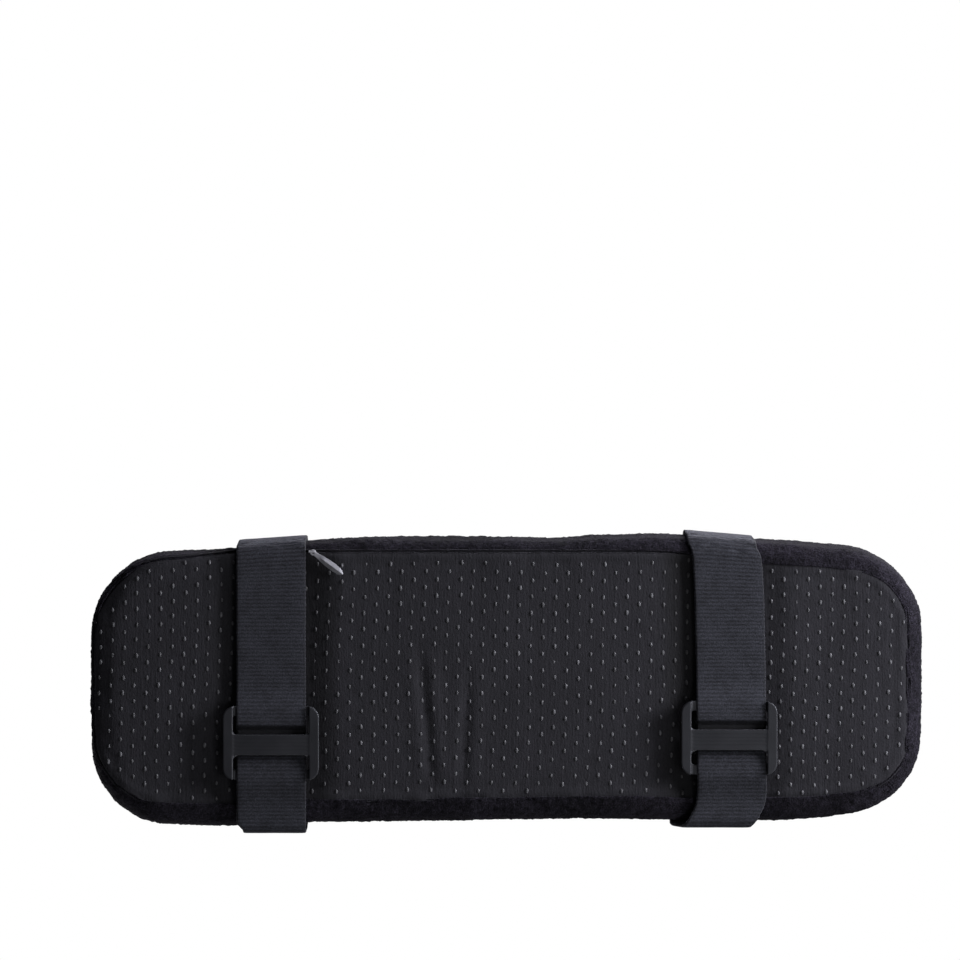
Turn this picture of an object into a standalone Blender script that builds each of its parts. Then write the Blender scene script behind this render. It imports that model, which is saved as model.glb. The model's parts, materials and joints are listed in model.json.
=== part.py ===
"""Chair armrest pad: a foam core in a zipped fabric cover, held to an armrest
by two elastic strap loops with tri-glide buckles.

Frame: +X along the pad, +Z up through the velvet side, the zip on the -Y long
side. z = 0 is the outer face of the anti-slip underside, which rests on the
armrest, and the origin is the middle of the pad's plan on that face.
The "left" strap is the one at -X, the "right" strap the one at +X.
"""

import math

import bmesh
import bpy
from mathutils import Vector

MM = 0.001  # every size below is in millimetres

# ---- pad ----
PAD_L, PAD_W, PAD_T = 250.0, 85.0, 30.0
HALF_L, HALF_W = PAD_L / 2, PAD_W / 2
PLAN_R = 22.0                      # corner radius of the pad's plan
EDGE_LOW_R, EDGE_TOP_R = 4.2, 6.0  # rounding of the band into the faces
FABRIC_T = 1.2
GAP = 0.3                          # clearance between neighbouring pieces
PLAN_STEPS = 8                     # segments in each plan corner of the cover

# ---- scene and helpers ----
for old in list(bpy.data.objects):
    bpy.data.objects.remove(old, do_unlink=True)

parts = bpy.data.collections.new("chair_armrest_pad")
cutters = bpy.data.collections.new("cutters")
for collection in (parts, cutters):
    bpy.context.scene.collection.children.link(collection)


def material(name, colour, roughness, metallic=0.0):
    mat = bpy.data.materials.new(name)
    mat.use_nodes = True
    node = mat.node_tree.nodes["Principled BSDF"]
    node.inputs["Base Color"].default_value = (*colour, 1.0)
    node.inputs["Roughness"].default_value = roughness
    node.inputs["Metallic"].default_value = metallic
    return mat


FOAM = material("foam", colour=(0.72, 0.70, 0.62), roughness=0.95)
VELVET_TOP = material("velvet_top", colour=(0.020, 0.021, 0.026), roughness=0.90)
VELVET_BAND = material("velvet_band", colour=(0.022, 0.022, 0.028), roughness=0.90)
GRIP = material("grip_fabric", colour=(0.024, 0.024, 0.028), roughness=0.80)
ELASTIC = material("elastic", colour=(0.034, 0.036, 0.043), roughness=0.85)
PLASTIC = material("buckle_plastic", colour=(0.030, 0.031, 0.033), roughness=0.45)
TAPE = material("zip_tape", colour=(0.018, 0.018, 0.020), roughness=0.85)
NYLON = material("zip_teeth", colour=(0.030, 0.030, 0.032), roughness=0.50)
METAL = material("zip_metal", colour=(0.55, 0.55, 0.57), roughness=0.30, metallic=1.0)


def put(name, data, mat, where=parts):
    obj = bpy.data.objects.new(name, data)
    where.objects.link(obj)
    if mat is not None:
        data.materials.append(mat)
    return obj


def put_bmesh(name, shape, mat, where=parts):
    mesh = bpy.data.meshes.new(name)
    shape.to_mesh(mesh)
    shape.free()
    return put(name, mesh, mat, where)


def guide(obj):
    """Mark a cutter: drawn as wire and left out of renders."""
    obj.hide_render = True
    obj.display_type = "WIRE"
    return obj


def empty(name, at):
    obj = put(name, None, None)
    obj.location = Vector(at) * MM
    return obj


def hang(obj, holder):
    """Parent to a holder without moving; the holder must be up to date."""
    obj.parent = holder
    obj.matrix_parent_inverse = holder.matrix_world.inverted()


def arc(centre_x, centre_y, radius, start, end, steps):
    """Points on an arc, ends included; angles in degrees."""
    points = []
    for i in range(steps + 1):
        angle = math.radians(start + (end - start) * i / steps)
        points.append((centre_x + radius * math.cos(angle), centre_y + radius * math.sin(angle)))
    return points


def rounded(x0, x1, y0, y1, radius, steps=PLAN_STEPS):
    """Counter-clockwise rounded rectangle as a list of (x, y)."""
    points = []
    for x, y, start in (
        (x1 - radius, y0 + radius, -90), (x1 - radius, y1 - radius, 0),
        (x0 + radius, y1 - radius, 90), (x0 + radius, y0 + radius, 180),
    ):
        points += arc(x, y, radius, start, start + 90, steps)
    return points


def plan(inset, steps=PLAN_STEPS):
    """The pad's plan, drawn in evenly by an inset."""
    return rounded(-HALF_L + inset, HALF_L - inset, -HALF_W + inset, HALF_W - inset,
                   PLAN_R - inset, steps)


def mirrored(half):
    """Closed outline from its -y half, mirrored over the x axis."""
    return half + [(x, -y) for x, y in half[::-1]]


def ribbon(path, thickness):
    """Closed outline of a strip of even thickness laid along a path."""
    left, right = [], []
    for i, (x, y) in enumerate(path):
        before_x, before_y = path[max(i - 1, 0)]
        after_x, after_y = path[min(i + 1, len(path) - 1)]
        step_x, step_y = after_x - before_x, after_y - before_y
        length = math.hypot(step_x, step_y)
        side_x = -step_y / length * thickness / 2
        side_y = step_x / length * thickness / 2
        left.append((x + side_x, y + side_y))
        right.append((x - side_x, y - side_y))
    return left + right[::-1]


def outline_curve(name, loops, thickness, mat, where=parts):
    """Flat outline (with any holes) given a thickness about its own plane."""
    curve = bpy.data.curves.new(name, "CURVE")
    curve.dimensions = "2D"
    curve.fill_mode = "BOTH"
    curve.extrude = thickness / 2 * MM
    for loop in loops:
        spline = curve.splines.new("POLY")
        spline.points.add(len(loop) - 1)
        for point, (x, y) in zip(spline.points, loop):
            point.co = (x * MM, y * MM, 0, 1)
        spline.use_cyclic_u = True
    return put(name, curve, mat, where)


def across_curve(name, outline, length, mat, x, where=parts):
    """Outline drawn in Y and Z, running a length along X about a middle x."""
    obj = outline_curve(name, [outline], length, mat, where)
    obj.rotation_euler = (math.pi / 2, 0, math.pi / 2)
    obj.location = (x * MM, 0, 0)
    return obj


def as_mesh(obj, mat, where=parts):
    """A curve object turned into a mesh object with its caps welded on."""
    bpy.context.view_layer.update()
    graph = bpy.context.evaluated_depsgraph_get()
    mesh = bpy.data.meshes.new_from_object(obj.evaluated_get(graph))
    shape = bmesh.new()
    shape.from_mesh(mesh)
    bmesh.ops.remove_doubles(shape, verts=shape.verts, dist=1e-6)
    bmesh.ops.recalc_face_normals(shape, faces=shape.faces)
    shape.to_mesh(mesh)
    shape.free()
    name, matrix = obj.name, obj.matrix_world.copy()
    bpy.data.objects.remove(obj, do_unlink=True)
    solid = put(name, mesh, mat, where)
    solid.matrix_world = matrix
    return solid


def boxes(name, spans, mat, where=parts):
    """Boxes from their spans ((x0, x1), (y0, y1), (z0, z1))."""
    shape = bmesh.new()
    for span in spans:
        for vert in bmesh.ops.create_cube(shape, size=1.0)["verts"]:
            vert.co = Vector([
                (start + end) / 2 * MM + unit * (end - start) * MM
                for (start, end), unit in zip(span, vert.co)
            ])
    return put_bmesh(name, shape, mat, where)


def boolean(obj, other, operation):
    mod = obj.modifiers.new(operation.lower(), "BOOLEAN")
    mod.operation = operation
    mod.solver = "EXACT"
    mod.object = other


def bevel(obj, width, segments, angle):
    mod = obj.modifiers.new("bevel", "BEVEL")
    mod.width = width * MM
    mod.segments = segments
    mod.limit_method = "ANGLE"
    mod.angle_limit = math.radians(angle)
    mod.use_clamp_overlap = True


# ---- foam core ----
FOAM_INSET, FOAM_R = 1.7, 5.0
FOAM_LOW = 1.6
FOAM_TOP = PAD_T - FOAM_LOW
TAPE_X0, TAPE_X1 = -68.0, 42.0     # ends of the zip tapes
TAPE_L, TAPE_X = TAPE_X1 - TAPE_X0, (TAPE_X0 + TAPE_X1) / 2
ZIP_ROOM_END = 4.0                 # room in the foam past each end of the tapes
# (y, z) of the room cut for the zip; it runs outside the foam at -Y and below.
ZIP_ROOM = [
    (-43, -1), (-27, -1), (-27, 2.8), (-35.2, 2.8),
    (-35.2, 5.7), (-40.1, 5.7), (-40.1, 11.3), (-43, 11.3),
]


def build_foam():
    """Core with fully rounded edges, cut away where the zip lies in the cover."""
    curve = outline_curve(
        "foam_core", [plan(FOAM_INSET + FOAM_R, steps=7)], FOAM_TOP - FOAM_LOW - 2 * FOAM_R, None)
    curve.data.bevel_depth = FOAM_R * MM
    curve.data.bevel_resolution = 2
    curve.location.z = (FOAM_TOP + FOAM_LOW) / 2 * MM
    foam = as_mesh(curve, FOAM)
    room = across_curve("zip_room", ZIP_ROOM, TAPE_L + 2 * ZIP_ROOM_END, None, TAPE_X, cutters)
    boolean(foam, guide(as_mesh(room, None, cutters)), "DIFFERENCE")


# ---- cover ----
LIP_X = 120.6                      # inner edge of the band's folded lip
LIP_ZIP_Y, LIP_FAR_Y = -38.7, 35.8
LIP_Z = 0.02
ROLL_ANGLES = (0, 18, 36, 54, 72, 90)  # stations round the band's edges, degrees

PANEL_X = 120.3                    # underside panel: half length
PANEL_ZIP_Y, PANEL_FAR_Y = -37.6, 35.5
PANEL_R = 17.8
SEAT_X0, SEAT_X1 = -44.0, 36.0     # flat middle of the panel
SEAT_RAMP, PRESSED_IN = 4.0, 0.2   # slope beside the seat, and its rise in z


def build_top_panel():
    panel = outline_curve("top_panel", [plan(EDGE_TOP_R + GAP)], FABRIC_T, VELVET_TOP)
    panel.location.z = (PAD_T - FABRIC_T / 2) * MM


def build_side_band():
    """Velvet band: a folded lip on the underside, the side wall, and the roll
    up to the seam of the top panel."""
    lip = rounded(-LIP_X, LIP_X, LIP_ZIP_Y, LIP_FAR_Y, PLAN_R - (HALF_L - LIP_X))
    rings = [(lip, LIP_Z)]
    for degrees in ROLL_ANGLES[1:]:
        angle = math.radians(degrees)
        inset = EDGE_LOW_R * (1 - math.sin(angle))
        rings.append((plan(inset), EDGE_LOW_R * (1 - math.cos(angle))))
    for degrees in ROLL_ANGLES:
        angle = math.radians(degrees)
        inset = EDGE_TOP_R * (1 - math.cos(angle))
        rings.append((plan(inset), PAD_T - EDGE_TOP_R * (1 - math.sin(angle))))

    shape = bmesh.new()
    rows = [[shape.verts.new(Vector((x, y, z)) * MM) for x, y in ring] for ring, z in rings]
    for lower, upper in zip(rows, rows[1:]):
        for i in range(len(lower)):
            j = (i + 1) % len(lower)
            shape.faces.new((lower[i], lower[j], upper[j], upper[i]))
    band = put_bmesh("side_band", shape, VELVET_BAND)
    skin = band.modifiers.new("skin", "SOLIDIFY")
    skin.thickness = FABRIC_T * MM
    skin.offset = -1
    skin.use_even_offset = True


def build_bottom_panel():
    """Anti-slip underside. The straps press it in a little, so its middle,
    between them, stands a touch proud and is the face that meets the armrest."""
    shape = bmesh.new()
    base = shape.faces.new([
        shape.verts.new((x * MM, y * MM, 0.0))
        for x, y in rounded(-PANEL_X, PANEL_X, PANEL_ZIP_Y, PANEL_FAR_Y, PANEL_R)
    ])
    for item in bmesh.ops.extrude_face_region(shape, geom=[base])["geom"]:
        if isinstance(item, bmesh.types.BMVert):
            item.co.z += FABRIC_T * MM
    for x in (SEAT_X0 - SEAT_RAMP, SEAT_X0, SEAT_X1, SEAT_X1 + SEAT_RAMP):
        bmesh.ops.bisect_plane(
            shape, geom=list(shape.verts) + list(shape.edges) + list(shape.faces),
            plane_co=(x * MM, 0, 0), plane_no=(1, 0, 0))
    for vert in shape.verts:
        on_outer_face = vert.co.z < FABRIC_T / 2 * MM
        # The 1 mm margin keeps the verts on the seat's own edges at z = 0.
        on_seat = SEAT_X0 - 1 < vert.co.x / MM < SEAT_X1 + 1
        if on_outer_face and not on_seat:
            vert.co.z = PRESSED_IN * MM
    bmesh.ops.recalc_face_normals(shape, faces=shape.faces)
    put_bmesh("bottom_panel", shape, GRIP)


# ---- concealed zip ----
TAPE_T = 0.4
BAND_TAPE_R, BAND_TAPE_TOP = 2.5, 10.6       # curve of the band-side tape, its top z
PANEL_TAPE_Y0, PANEL_TAPE_Y1, PANEL_TAPE_Z = -37.4, -27.6, 2.0

ZIP_Y = -38.15                     # line the zip slider runs on
ZIP_X0, ZIP_X1 = -64.2, 36.0       # ends of the two tooth rows
TOOTH_PITCH = 2.5
TOOTH_Z, TOOTH_T = 3.35, 1.3       # mid height and thickness of the rows
# Distances from the slider line to a row's back, tooth roots and tooth tips.
TOOTH_BACK, TOOTH_ROOT, TOOTH_TIP = 1.55, 1.0, 0.47
# One tooth: (x from its pitch point, distance from the slider line).
TOOTH = [(0.15, TOOTH_ROOT), (0.45, TOOTH_TIP), (1.15, TOOTH_TIP), (1.45, TOOTH_ROOT)]
STOP_GAP, STOP_T = 0.4, 1.5        # gap to the rows, thickness in z
TOP_STOP_L, BOTTOM_STOP_L = 1.8, 2.4

SLIDER_X = -58.6                   # slider at the zip's closed end
WEB_PLATE_T = 0.6
# (x, z) of the slider's web and of the window through its lower end.
SLIDER_WEB = [(-1.3, -1.9), (-0.9, -2.3), (0.9, -2.3), (1.3, -1.9), (1.3, 4.7), (-1.3, 4.7)]
SLIDER_WINDOW = [(-0.8, -1.7), (-0.8, -0.3), (0.8, -0.3), (0.8, -1.7)]
PLATE_T, PLATE_Z = 0.9, 4.8
# (x, y) of half the slider's plate.
PLATE_HALF = [(-4.0, -1.2), (-3.0, -1.9), (1.0, -1.9), (4.0, -1.4)]

PULL_T, PULL_Z = 0.8, -1.0
PULL_YAW = 36.0                    # direction the loose pull lies in, degrees
# (x, y) of half the pull, from its rim in the window to its tip.
LEAF_HALF = [
    (-0.40, -1.2), (-0.05, -1.65), (0.6, -1.80), (1.6, -1.80), (2.5, -1.60),
    (3.4, -1.05), (4.6, -0.80), (6.0, -0.98), (8.0, -1.30), (9.8, -1.42),
    (11.2, -1.30), (12.1, -0.95), (12.5, -0.40),
]
# (x, y) of half the pull's eye.
EYE_HALF = [(0.35, -0.9), (0.65, -1.25), (1.7, -1.25), (2.2, -1.0), (2.4, -0.5)]


def build_tapes():
    # Sewn inside the band, concentric with its low edge, then up the side.
    path = arc(-HALF_W + EDGE_LOW_R, EDGE_LOW_R, BAND_TAPE_R, 256, 180, 6)
    path.append((-HALF_W + EDGE_LOW_R - BAND_TAPE_R, BAND_TAPE_TOP))
    across_curve("zip_tape_band_side", ribbon(path, TAPE_T), TAPE_L, TAPE, TAPE_X)
    # Sewn along the edge of the underside panel.
    y0, y1, z0, z1 = PANEL_TAPE_Y0, PANEL_TAPE_Y1, PANEL_TAPE_Z, PANEL_TAPE_Z + TAPE_T
    across_curve("zip_tape_panel_side", [(y0, z0), (y1, z0), (y1, z1), (y0, z1)],
                 TAPE_L, TAPE, TAPE_X)


def build_tooth_row(name, sign, shift):
    """A coil row seen from above: a straight back with even teeth. The sign
    is the row's side of the slider line in y."""
    back, root = ZIP_Y + sign * TOOTH_BACK, ZIP_Y + sign * TOOTH_ROOT
    points = [(ZIP_X0, back), (ZIP_X0, root)]
    for i in range(int((ZIP_X1 - ZIP_X0) / TOOTH_PITCH)):
        x = ZIP_X0 + i * TOOTH_PITCH + shift
        points += [(x + along, ZIP_Y + sign * away) for along, away in TOOTH]
    points += [(ZIP_X1, root), (ZIP_X1, back)]
    row = outline_curve(name, [points], TOOTH_T, NYLON)
    row.location.z = TOOTH_Z * MM


def build_stop(name, x0, x1):
    span = ((x0, x1), (ZIP_Y - TOOTH_BACK, ZIP_Y + TOOTH_BACK),
            (TOOTH_Z - STOP_T / 2, TOOTH_Z + STOP_T / 2))
    bevel(boxes(name, [span], METAL), width=0.3, segments=2, angle=40)


def build_slider():
    """A plate over the teeth inside the cover, a web through the seam, and a
    bridge outside that carries the pull."""
    axis = empty("zip_slider_axis", (SLIDER_X, ZIP_Y, 0))
    web = outline_curve("zip_slider", [SLIDER_WEB, SLIDER_WINDOW], WEB_PLATE_T, None)
    web.rotation_euler = (math.pi / 2, 0, 0)
    web.location = (SLIDER_X * MM, ZIP_Y * MM, 0)
    slider = as_mesh(web, METAL)
    plate = outline_curve("slider_plate", [mirrored(PLATE_HALF)], PLATE_T, None, cutters)
    plate.location = (SLIDER_X * MM, ZIP_Y * MM, PLATE_Z * MM)
    boolean(slider, guide(as_mesh(plate, None, cutters)), "UNION")
    hang(slider, axis)


def build_pull():
    """A narrow leaf with an eye. Its rim in the slider's window is the hinge."""
    axis = empty("zip_pull_axis", (SLIDER_X, ZIP_Y, PULL_Z))
    axis.rotation_euler = (0, 0, math.radians(PULL_YAW))
    pull = outline_curve("zip_pull", [mirrored(LEAF_HALF), mirrored(EYE_HALF)], PULL_T, METAL)
    pull.parent = axis


# ---- elastic straps ----
STRAP_W, STRAP_T = 21.0, 1.0
STRAP_SIDE_GAP, STRAP_TOP_GAP, STRAP_LOW_GAP = 1.0, 0.8, 0.5  # slack round the pad
LEG_TOP_Z, LEG_LOW_Z = PAD_T - EDGE_TOP_R, 6.0
STRAP_Y = HALF_W + STRAP_SIDE_GAP + STRAP_T / 2               # centre-line of the legs
STRAP_LOW_R = EDGE_LOW_R + STRAP_LOW_GAP + STRAP_T / 2
STRAP_TOP_R = EDGE_TOP_R + STRAP_TOP_GAP + STRAP_T / 2

# ---- buckles: "in" and "out" are depths below the underside face ----
BUCKLE_L, BUCKLE_H = 29.0, 22.3    # across the strap, along the strap
BUCKLE_IN, BUCKLE_OUT = 1.8, 4.7
BUCKLE_R = 4.2
SLOT_L, SLOT_R = 22.8, 1.3
RAIL_END, BAR_H = 3.0, 6.2         # crossbar and centre bar, along the strap
SLOT_NEAR, SLOT_FAR = BAR_H / 2, BUCKLE_H / 2 - RAIL_END
CROSSBAR_OUT, BAR_IN = 3.3, 2.85   # sunk crossbars, raised centre bar
STEP_HALF_L, STEP_LAP = 11.0, 0.6  # cuts that thin the bars, lap into the slots
GROOVE_HALF_L, GROOVE_HALF_W, GROOVE_DEPTH = 10.2, 0.28, 0.35
GROOVE_OFFSETS = (-1.8, -0.6, 0.6, 1.8)
CUT_END_Z = -6.0                   # cutters end here, clear of the outer face

# ---- webbing threaded through a buckle; its y is from the buckle's middle ----
WEB_T = 0.8
WEB_HALF_L, WEB_STEPS = 17.0, 34
WEB_NEAR = STRAP_LOW_GAP + STRAP_T + GAP + WEB_T / 2  # depth beside the strap
WEB_FAR = CROSSBAR_OUT + GAP + WEB_T / 2              # depth over a crossbar
SINK_START, SINK_END, RETURN_START, RETURN_END = 2.8, 7.6, 11.6, 16.2


def loop_path(leg_z, corner_z, radius, turn):
    """Strap path over or under the pad, between its legs; turn is the sweep
    of the first corner in degrees."""
    return (
        [(-STRAP_Y, leg_z)]
        + arc(-STRAP_Y + radius, corner_z, radius, 180, 180 + turn, 7)
        + arc(STRAP_Y - radius, corner_z, radius, -turn, 0, 7)
        + [(STRAP_Y, leg_z)]
    )


def strap_piece(name, outline, x):
    return across_curve(name, outline, STRAP_W, ELASTIC, x)


def build_legs(label, x):
    z0, z1 = LEG_LOW_Z + GAP / 2, LEG_TOP_Z - GAP / 2
    for leg, middle in (("zip_side", -STRAP_Y), ("far_side", STRAP_Y)):
        y0, y1 = middle - STRAP_T / 2, middle + STRAP_T / 2
        strap_piece(f"strap_{label}_leg_{leg}", [(y0, z0), (y1, z0), (y1, z1), (y0, z1)], x)


def smooth(t):
    t = min(max(t, 0.0), 1.0)
    return t * t * (3 - 2 * t)


def web_depth(y):
    y = abs(y)
    if y < SINK_END:
        share = smooth((y - SINK_START) / (SINK_END - SINK_START))
    else:
        share = 1 - smooth((y - RETURN_START) / (RETURN_END - RETURN_START))
    return WEB_NEAR + (WEB_FAR - WEB_NEAR) * share


def build_threaded(label, x, buckle_y):
    path = []
    for i in range(WEB_STEPS + 1):
        y = -WEB_HALF_L + 2 * WEB_HALF_L * i / WEB_STEPS
        path.append((y + buckle_y, -web_depth(y)))
    return strap_piece(f"strap_{label}_threaded", ribbon(path, WEB_T), x)


def build_buckle(label, x, y):
    """Tri-glide buckle: a moulded frame with two slots and a raised centre bar."""
    half_l, half_h, slot = BUCKLE_L / 2, BUCKLE_H / 2, SLOT_L / 2
    frame = outline_curve(
        f"buckle_{label}",
        [
            rounded(-half_l, half_l, -half_h, half_h, BUCKLE_R, 5),
            rounded(-slot, slot, SLOT_NEAR, SLOT_FAR, SLOT_R, 3),
            rounded(-slot, slot, -SLOT_FAR, -SLOT_NEAR, SLOT_R, 3),
        ],
        BUCKLE_OUT - BUCKLE_IN, None,
    )
    frame.location = (x * MM, y * MM, -(BUCKLE_OUT + BUCKLE_IN) / 2 * MM)
    buckle = as_mesh(frame, PLASTIC)

    step_x = (x - STEP_HALF_L, x + STEP_HALF_L)
    groove_x = (x - GROOVE_HALF_L, x + GROOVE_HALF_L)
    near, far = SLOT_FAR - STEP_LAP, half_h + 1  # crossbar cuts, in y
    bar = SLOT_NEAR + STEP_LAP
    cuts = {
        "crossbar_step": [
            (step_x, (y + near, y + far), (CUT_END_Z, -CROSSBAR_OUT)),
            (step_x, (y - far, y - near), (CUT_END_Z, -CROSSBAR_OUT)),
        ],
        "bar_step": [(step_x, (y - bar, y + bar), (-BAR_IN, 0))],
        "bar_ribs": [
            (groove_x, (y + offset - GROOVE_HALF_W, y + offset + GROOVE_HALF_W),
             (CUT_END_Z, -BUCKLE_OUT + GROOVE_DEPTH))
            for offset in GROOVE_OFFSETS
        ],
    }
    for name, spans in cuts.items():
        boolean(buckle, guide(boxes(f"{name}_{label}", spans, None, cutters)), "DIFFERENCE")
    return buckle


def build_strap(label, x, buckle_y):
    over_path = loop_path(LEG_TOP_Z + GAP / 2, PAD_T - EDGE_TOP_R, STRAP_TOP_R, turn=-90)
    under_path = loop_path(LEG_LOW_Z - GAP / 2, EDGE_LOW_R, STRAP_LOW_R, turn=90)
    over = strap_piece(f"strap_{label}_over", ribbon(over_path, STRAP_T), x)
    under = strap_piece(f"strap_{label}_under", ribbon(under_path, STRAP_T), x)
    build_legs(label, x)
    buckle = build_buckle(label, x, buckle_y)
    threaded = build_threaded(label, x, buckle_y)

    # Each moving group hangs on an empty at the place it slides from.
    upper = empty(f"strap_{label}_upper_axis", (x, 0, PAD_T))
    lower = empty(f"strap_{label}_lower_axis", (x, 0, 0))
    glide = empty(f"buckle_{label}_axis", (x, buckle_y, 0))
    bpy.context.view_layer.update()
    for obj, holder in (
        (lower, upper), (glide, lower), (over, upper), (under, lower),
        (buckle, glide), (threaded, glide),
    ):
        hang(obj, holder)


# ---- build ----
build_foam()
build_top_panel()
build_side_band()
build_bottom_panel()
build_tapes()
build_tooth_row("zip_teeth_band_side", sign=-1, shift=0.1)
build_tooth_row("zip_teeth_panel_side", sign=1, shift=0.9)
build_stop("zip_top_stop", ZIP_X0 - STOP_GAP - TOP_STOP_L, ZIP_X0 - STOP_GAP)
build_stop("zip_bottom_stop", ZIP_X1 + STOP_GAP, ZIP_X1 + STOP_GAP + BOTTOM_STOP_L)
build_slider()
build_pull()
build_strap("left", x=-71.0, buckle_y=19.6)
build_strap("right", x=67.4, buckle_y=18.0)

for part in parts.objects:
    if part.type == "MESH":
        part.data.shade_smooth()
        part.data.set_sharp_from_angle(angle=math.radians(35))
bpy.context.view_layer.update()
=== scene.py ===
"""Looks for a chair armrest pad: velvet and anti-slip cover over foam, two elastic loops
with tri-glide buckles, and a zip with its pull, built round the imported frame.

X runs along the pad, left being -X, and Z is up. The underside, with its grip dots and the
buckles, is near z = 0. The zip is on the -Y side; the +Y side is called far. Lengths are in
mm, but materials, camera and lights are in metres.
"""

import json
import math
from functools import cached_property
from types import SimpleNamespace

import bmesh
import bpy
import numpy as np
from mathutils import Matrix, Vector
from mathutils.bvhtree import BVHTree
from mathutils.kdtree import KDTree


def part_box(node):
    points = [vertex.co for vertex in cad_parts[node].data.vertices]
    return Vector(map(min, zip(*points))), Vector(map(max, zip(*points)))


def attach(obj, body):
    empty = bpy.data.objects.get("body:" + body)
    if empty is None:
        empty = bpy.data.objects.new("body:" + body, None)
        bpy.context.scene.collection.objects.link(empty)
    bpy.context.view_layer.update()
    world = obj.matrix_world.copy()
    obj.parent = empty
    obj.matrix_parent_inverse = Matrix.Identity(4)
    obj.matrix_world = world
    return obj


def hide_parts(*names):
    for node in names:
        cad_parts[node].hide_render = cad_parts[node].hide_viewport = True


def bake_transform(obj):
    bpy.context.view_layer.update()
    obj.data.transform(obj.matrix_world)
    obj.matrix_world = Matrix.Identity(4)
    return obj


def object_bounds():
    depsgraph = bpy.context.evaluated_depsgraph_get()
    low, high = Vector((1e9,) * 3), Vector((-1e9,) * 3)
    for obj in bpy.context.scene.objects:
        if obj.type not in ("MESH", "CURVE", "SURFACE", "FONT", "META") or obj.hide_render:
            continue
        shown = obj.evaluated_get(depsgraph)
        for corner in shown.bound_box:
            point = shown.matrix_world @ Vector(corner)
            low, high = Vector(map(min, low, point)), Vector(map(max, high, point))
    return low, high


MM = 0.001                         # one millimetre in metres
RIB_PITCH = 1.15                   # spacing of the elastic's cross ribs
SIDES = ("left", "right")
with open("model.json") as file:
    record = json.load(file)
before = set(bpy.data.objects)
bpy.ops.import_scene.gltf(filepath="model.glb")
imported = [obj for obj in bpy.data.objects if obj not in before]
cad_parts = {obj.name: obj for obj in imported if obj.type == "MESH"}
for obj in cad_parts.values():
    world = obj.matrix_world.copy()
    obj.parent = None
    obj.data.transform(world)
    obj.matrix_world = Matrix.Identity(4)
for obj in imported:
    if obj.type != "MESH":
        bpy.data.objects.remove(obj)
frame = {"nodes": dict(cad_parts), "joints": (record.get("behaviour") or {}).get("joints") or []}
cad_low, cad_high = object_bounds()
scene = bpy.context.scene
joints = {joint["name"]: joint for joint in frame["joints"]}


def mm_box(node):
    """Low and high corner of a CAD piece, in mm."""
    return [np.array(list(corner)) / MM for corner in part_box(node)]


# ---------------------------------------------------------------- number helpers
rng = np.random.default_rng(11)
LATTICE = rng.random((64, 64, 64)) * 2 - 1


def noise(points, scale, seed):
    """Smooth value noise of points (N, 3) in mm, in -1..1."""
    place = np.asarray(points, float) / np.asarray(scale, float) + 17.31 * (seed + 1)
    cell = np.floor(place).astype(np.int64)
    part = place - cell
    part = part * part * part * (part * (part * 6 - 15) + 10)
    near, past = (cell & 63).T, ((cell + 1) & 63).T

    def mix(start, end, share):
        return start + (end - start) * share

    def row(y, z):
        return mix(LATTICE[near[0], y, z], LATTICE[past[0], y, z], part[:, 0])

    def layer(z):
        return mix(row(near[1], z), row(past[1], z), part[:, 1])

    return mix(layer(near[2]), layer(past[2]), part[:, 2])


def smooth(value, start, end):
    """0 before start, 1 after end (either order), smooth between."""
    share = np.clip((np.asarray(value, float) - start) / (end - start), 0, 1)
    return share * share * (3 - 2 * share)


def bump(value, centre, width):
    return np.exp(-(((np.asarray(value, float) - centre) / width) ** 2))


def blurred(values, reach, width, mode="edge"):
    """Values softened by a bell curve that spans reach samples each way."""
    kernel = np.exp(-0.5 * (np.arange(-reach, reach + 1) / width) ** 2)
    return np.convolve(np.pad(values, reach, mode=mode), kernel / kernel.sum(), mode="valid")


def through(points, value):
    """Straight interpolation of value in a table of (place, result)."""
    return np.interp(value, *zip(*points))


def curve_of(points, blur):
    """Smooth function through (x, y) pairs."""
    stations = np.arange(-160, 161, 1.0)
    values = blurred(through(points, stations), 30, blur)
    return lambda x: np.interp(x, stations, values)


def tree_of(points):
    tree = KDTree(len(points))
    for k, point in enumerate(points):
        tree.insert(point, k)
    tree.balance()
    return tree


# ---------------------------------------------------------------- mesh helpers
def mesh_object(name, points, faces):
    mesh = bpy.data.meshes.new(name)
    mesh.from_pydata((np.asarray(points) * MM).tolist(), [], faces)
    mesh.update()
    mesh.polygons.foreach_set("use_smooth", [True] * len(mesh.polygons))
    obj = bpy.data.objects.new(name, mesh)
    scene.collection.objects.link(obj)
    return obj


def vertex_values(obj, key):
    values = np.zeros(len(obj.data.vertices) * 3)
    obj.data.vertices.foreach_get(key, values)
    return values.reshape(-1, 3)


def points_mm(obj):
    return vertex_values(obj, "co") / MM


def normals(obj):
    return vertex_values(obj, "normal")


def set_points(obj, points):
    obj.data.vertices.foreach_set("co", (points * MM).ravel())
    obj.data.update()


def add_attribute(obj, name, values):
    attribute = obj.data.attributes.new(name, "FLOAT", "POINT")
    attribute.data.foreach_set("value", values.astype(np.float32))


def add_modifier(obj, name, kind, **settings):
    modifier = obj.modifiers.new(name, kind)
    for key, value in settings.items():
        setattr(modifier, key, value)


def applied(obj):
    """The object with its modifiers applied to its mesh."""
    bpy.context.view_layer.update()
    graph = bpy.context.evaluated_depsgraph_get()
    made = bpy.data.meshes.new_from_object(obj.evaluated_get(graph))
    obj.modifiers.clear()
    old = obj.data
    obj.data = made
    bpy.data.meshes.remove(old)
    made.name = obj.name
    return obj


def subdivided(obj, levels):
    add_modifier(obj, "subdivide", "SUBSURF", levels=levels, render_levels=levels,
                 boundary_smooth="PRESERVE_CORNERS")
    return applied(obj)


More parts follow.
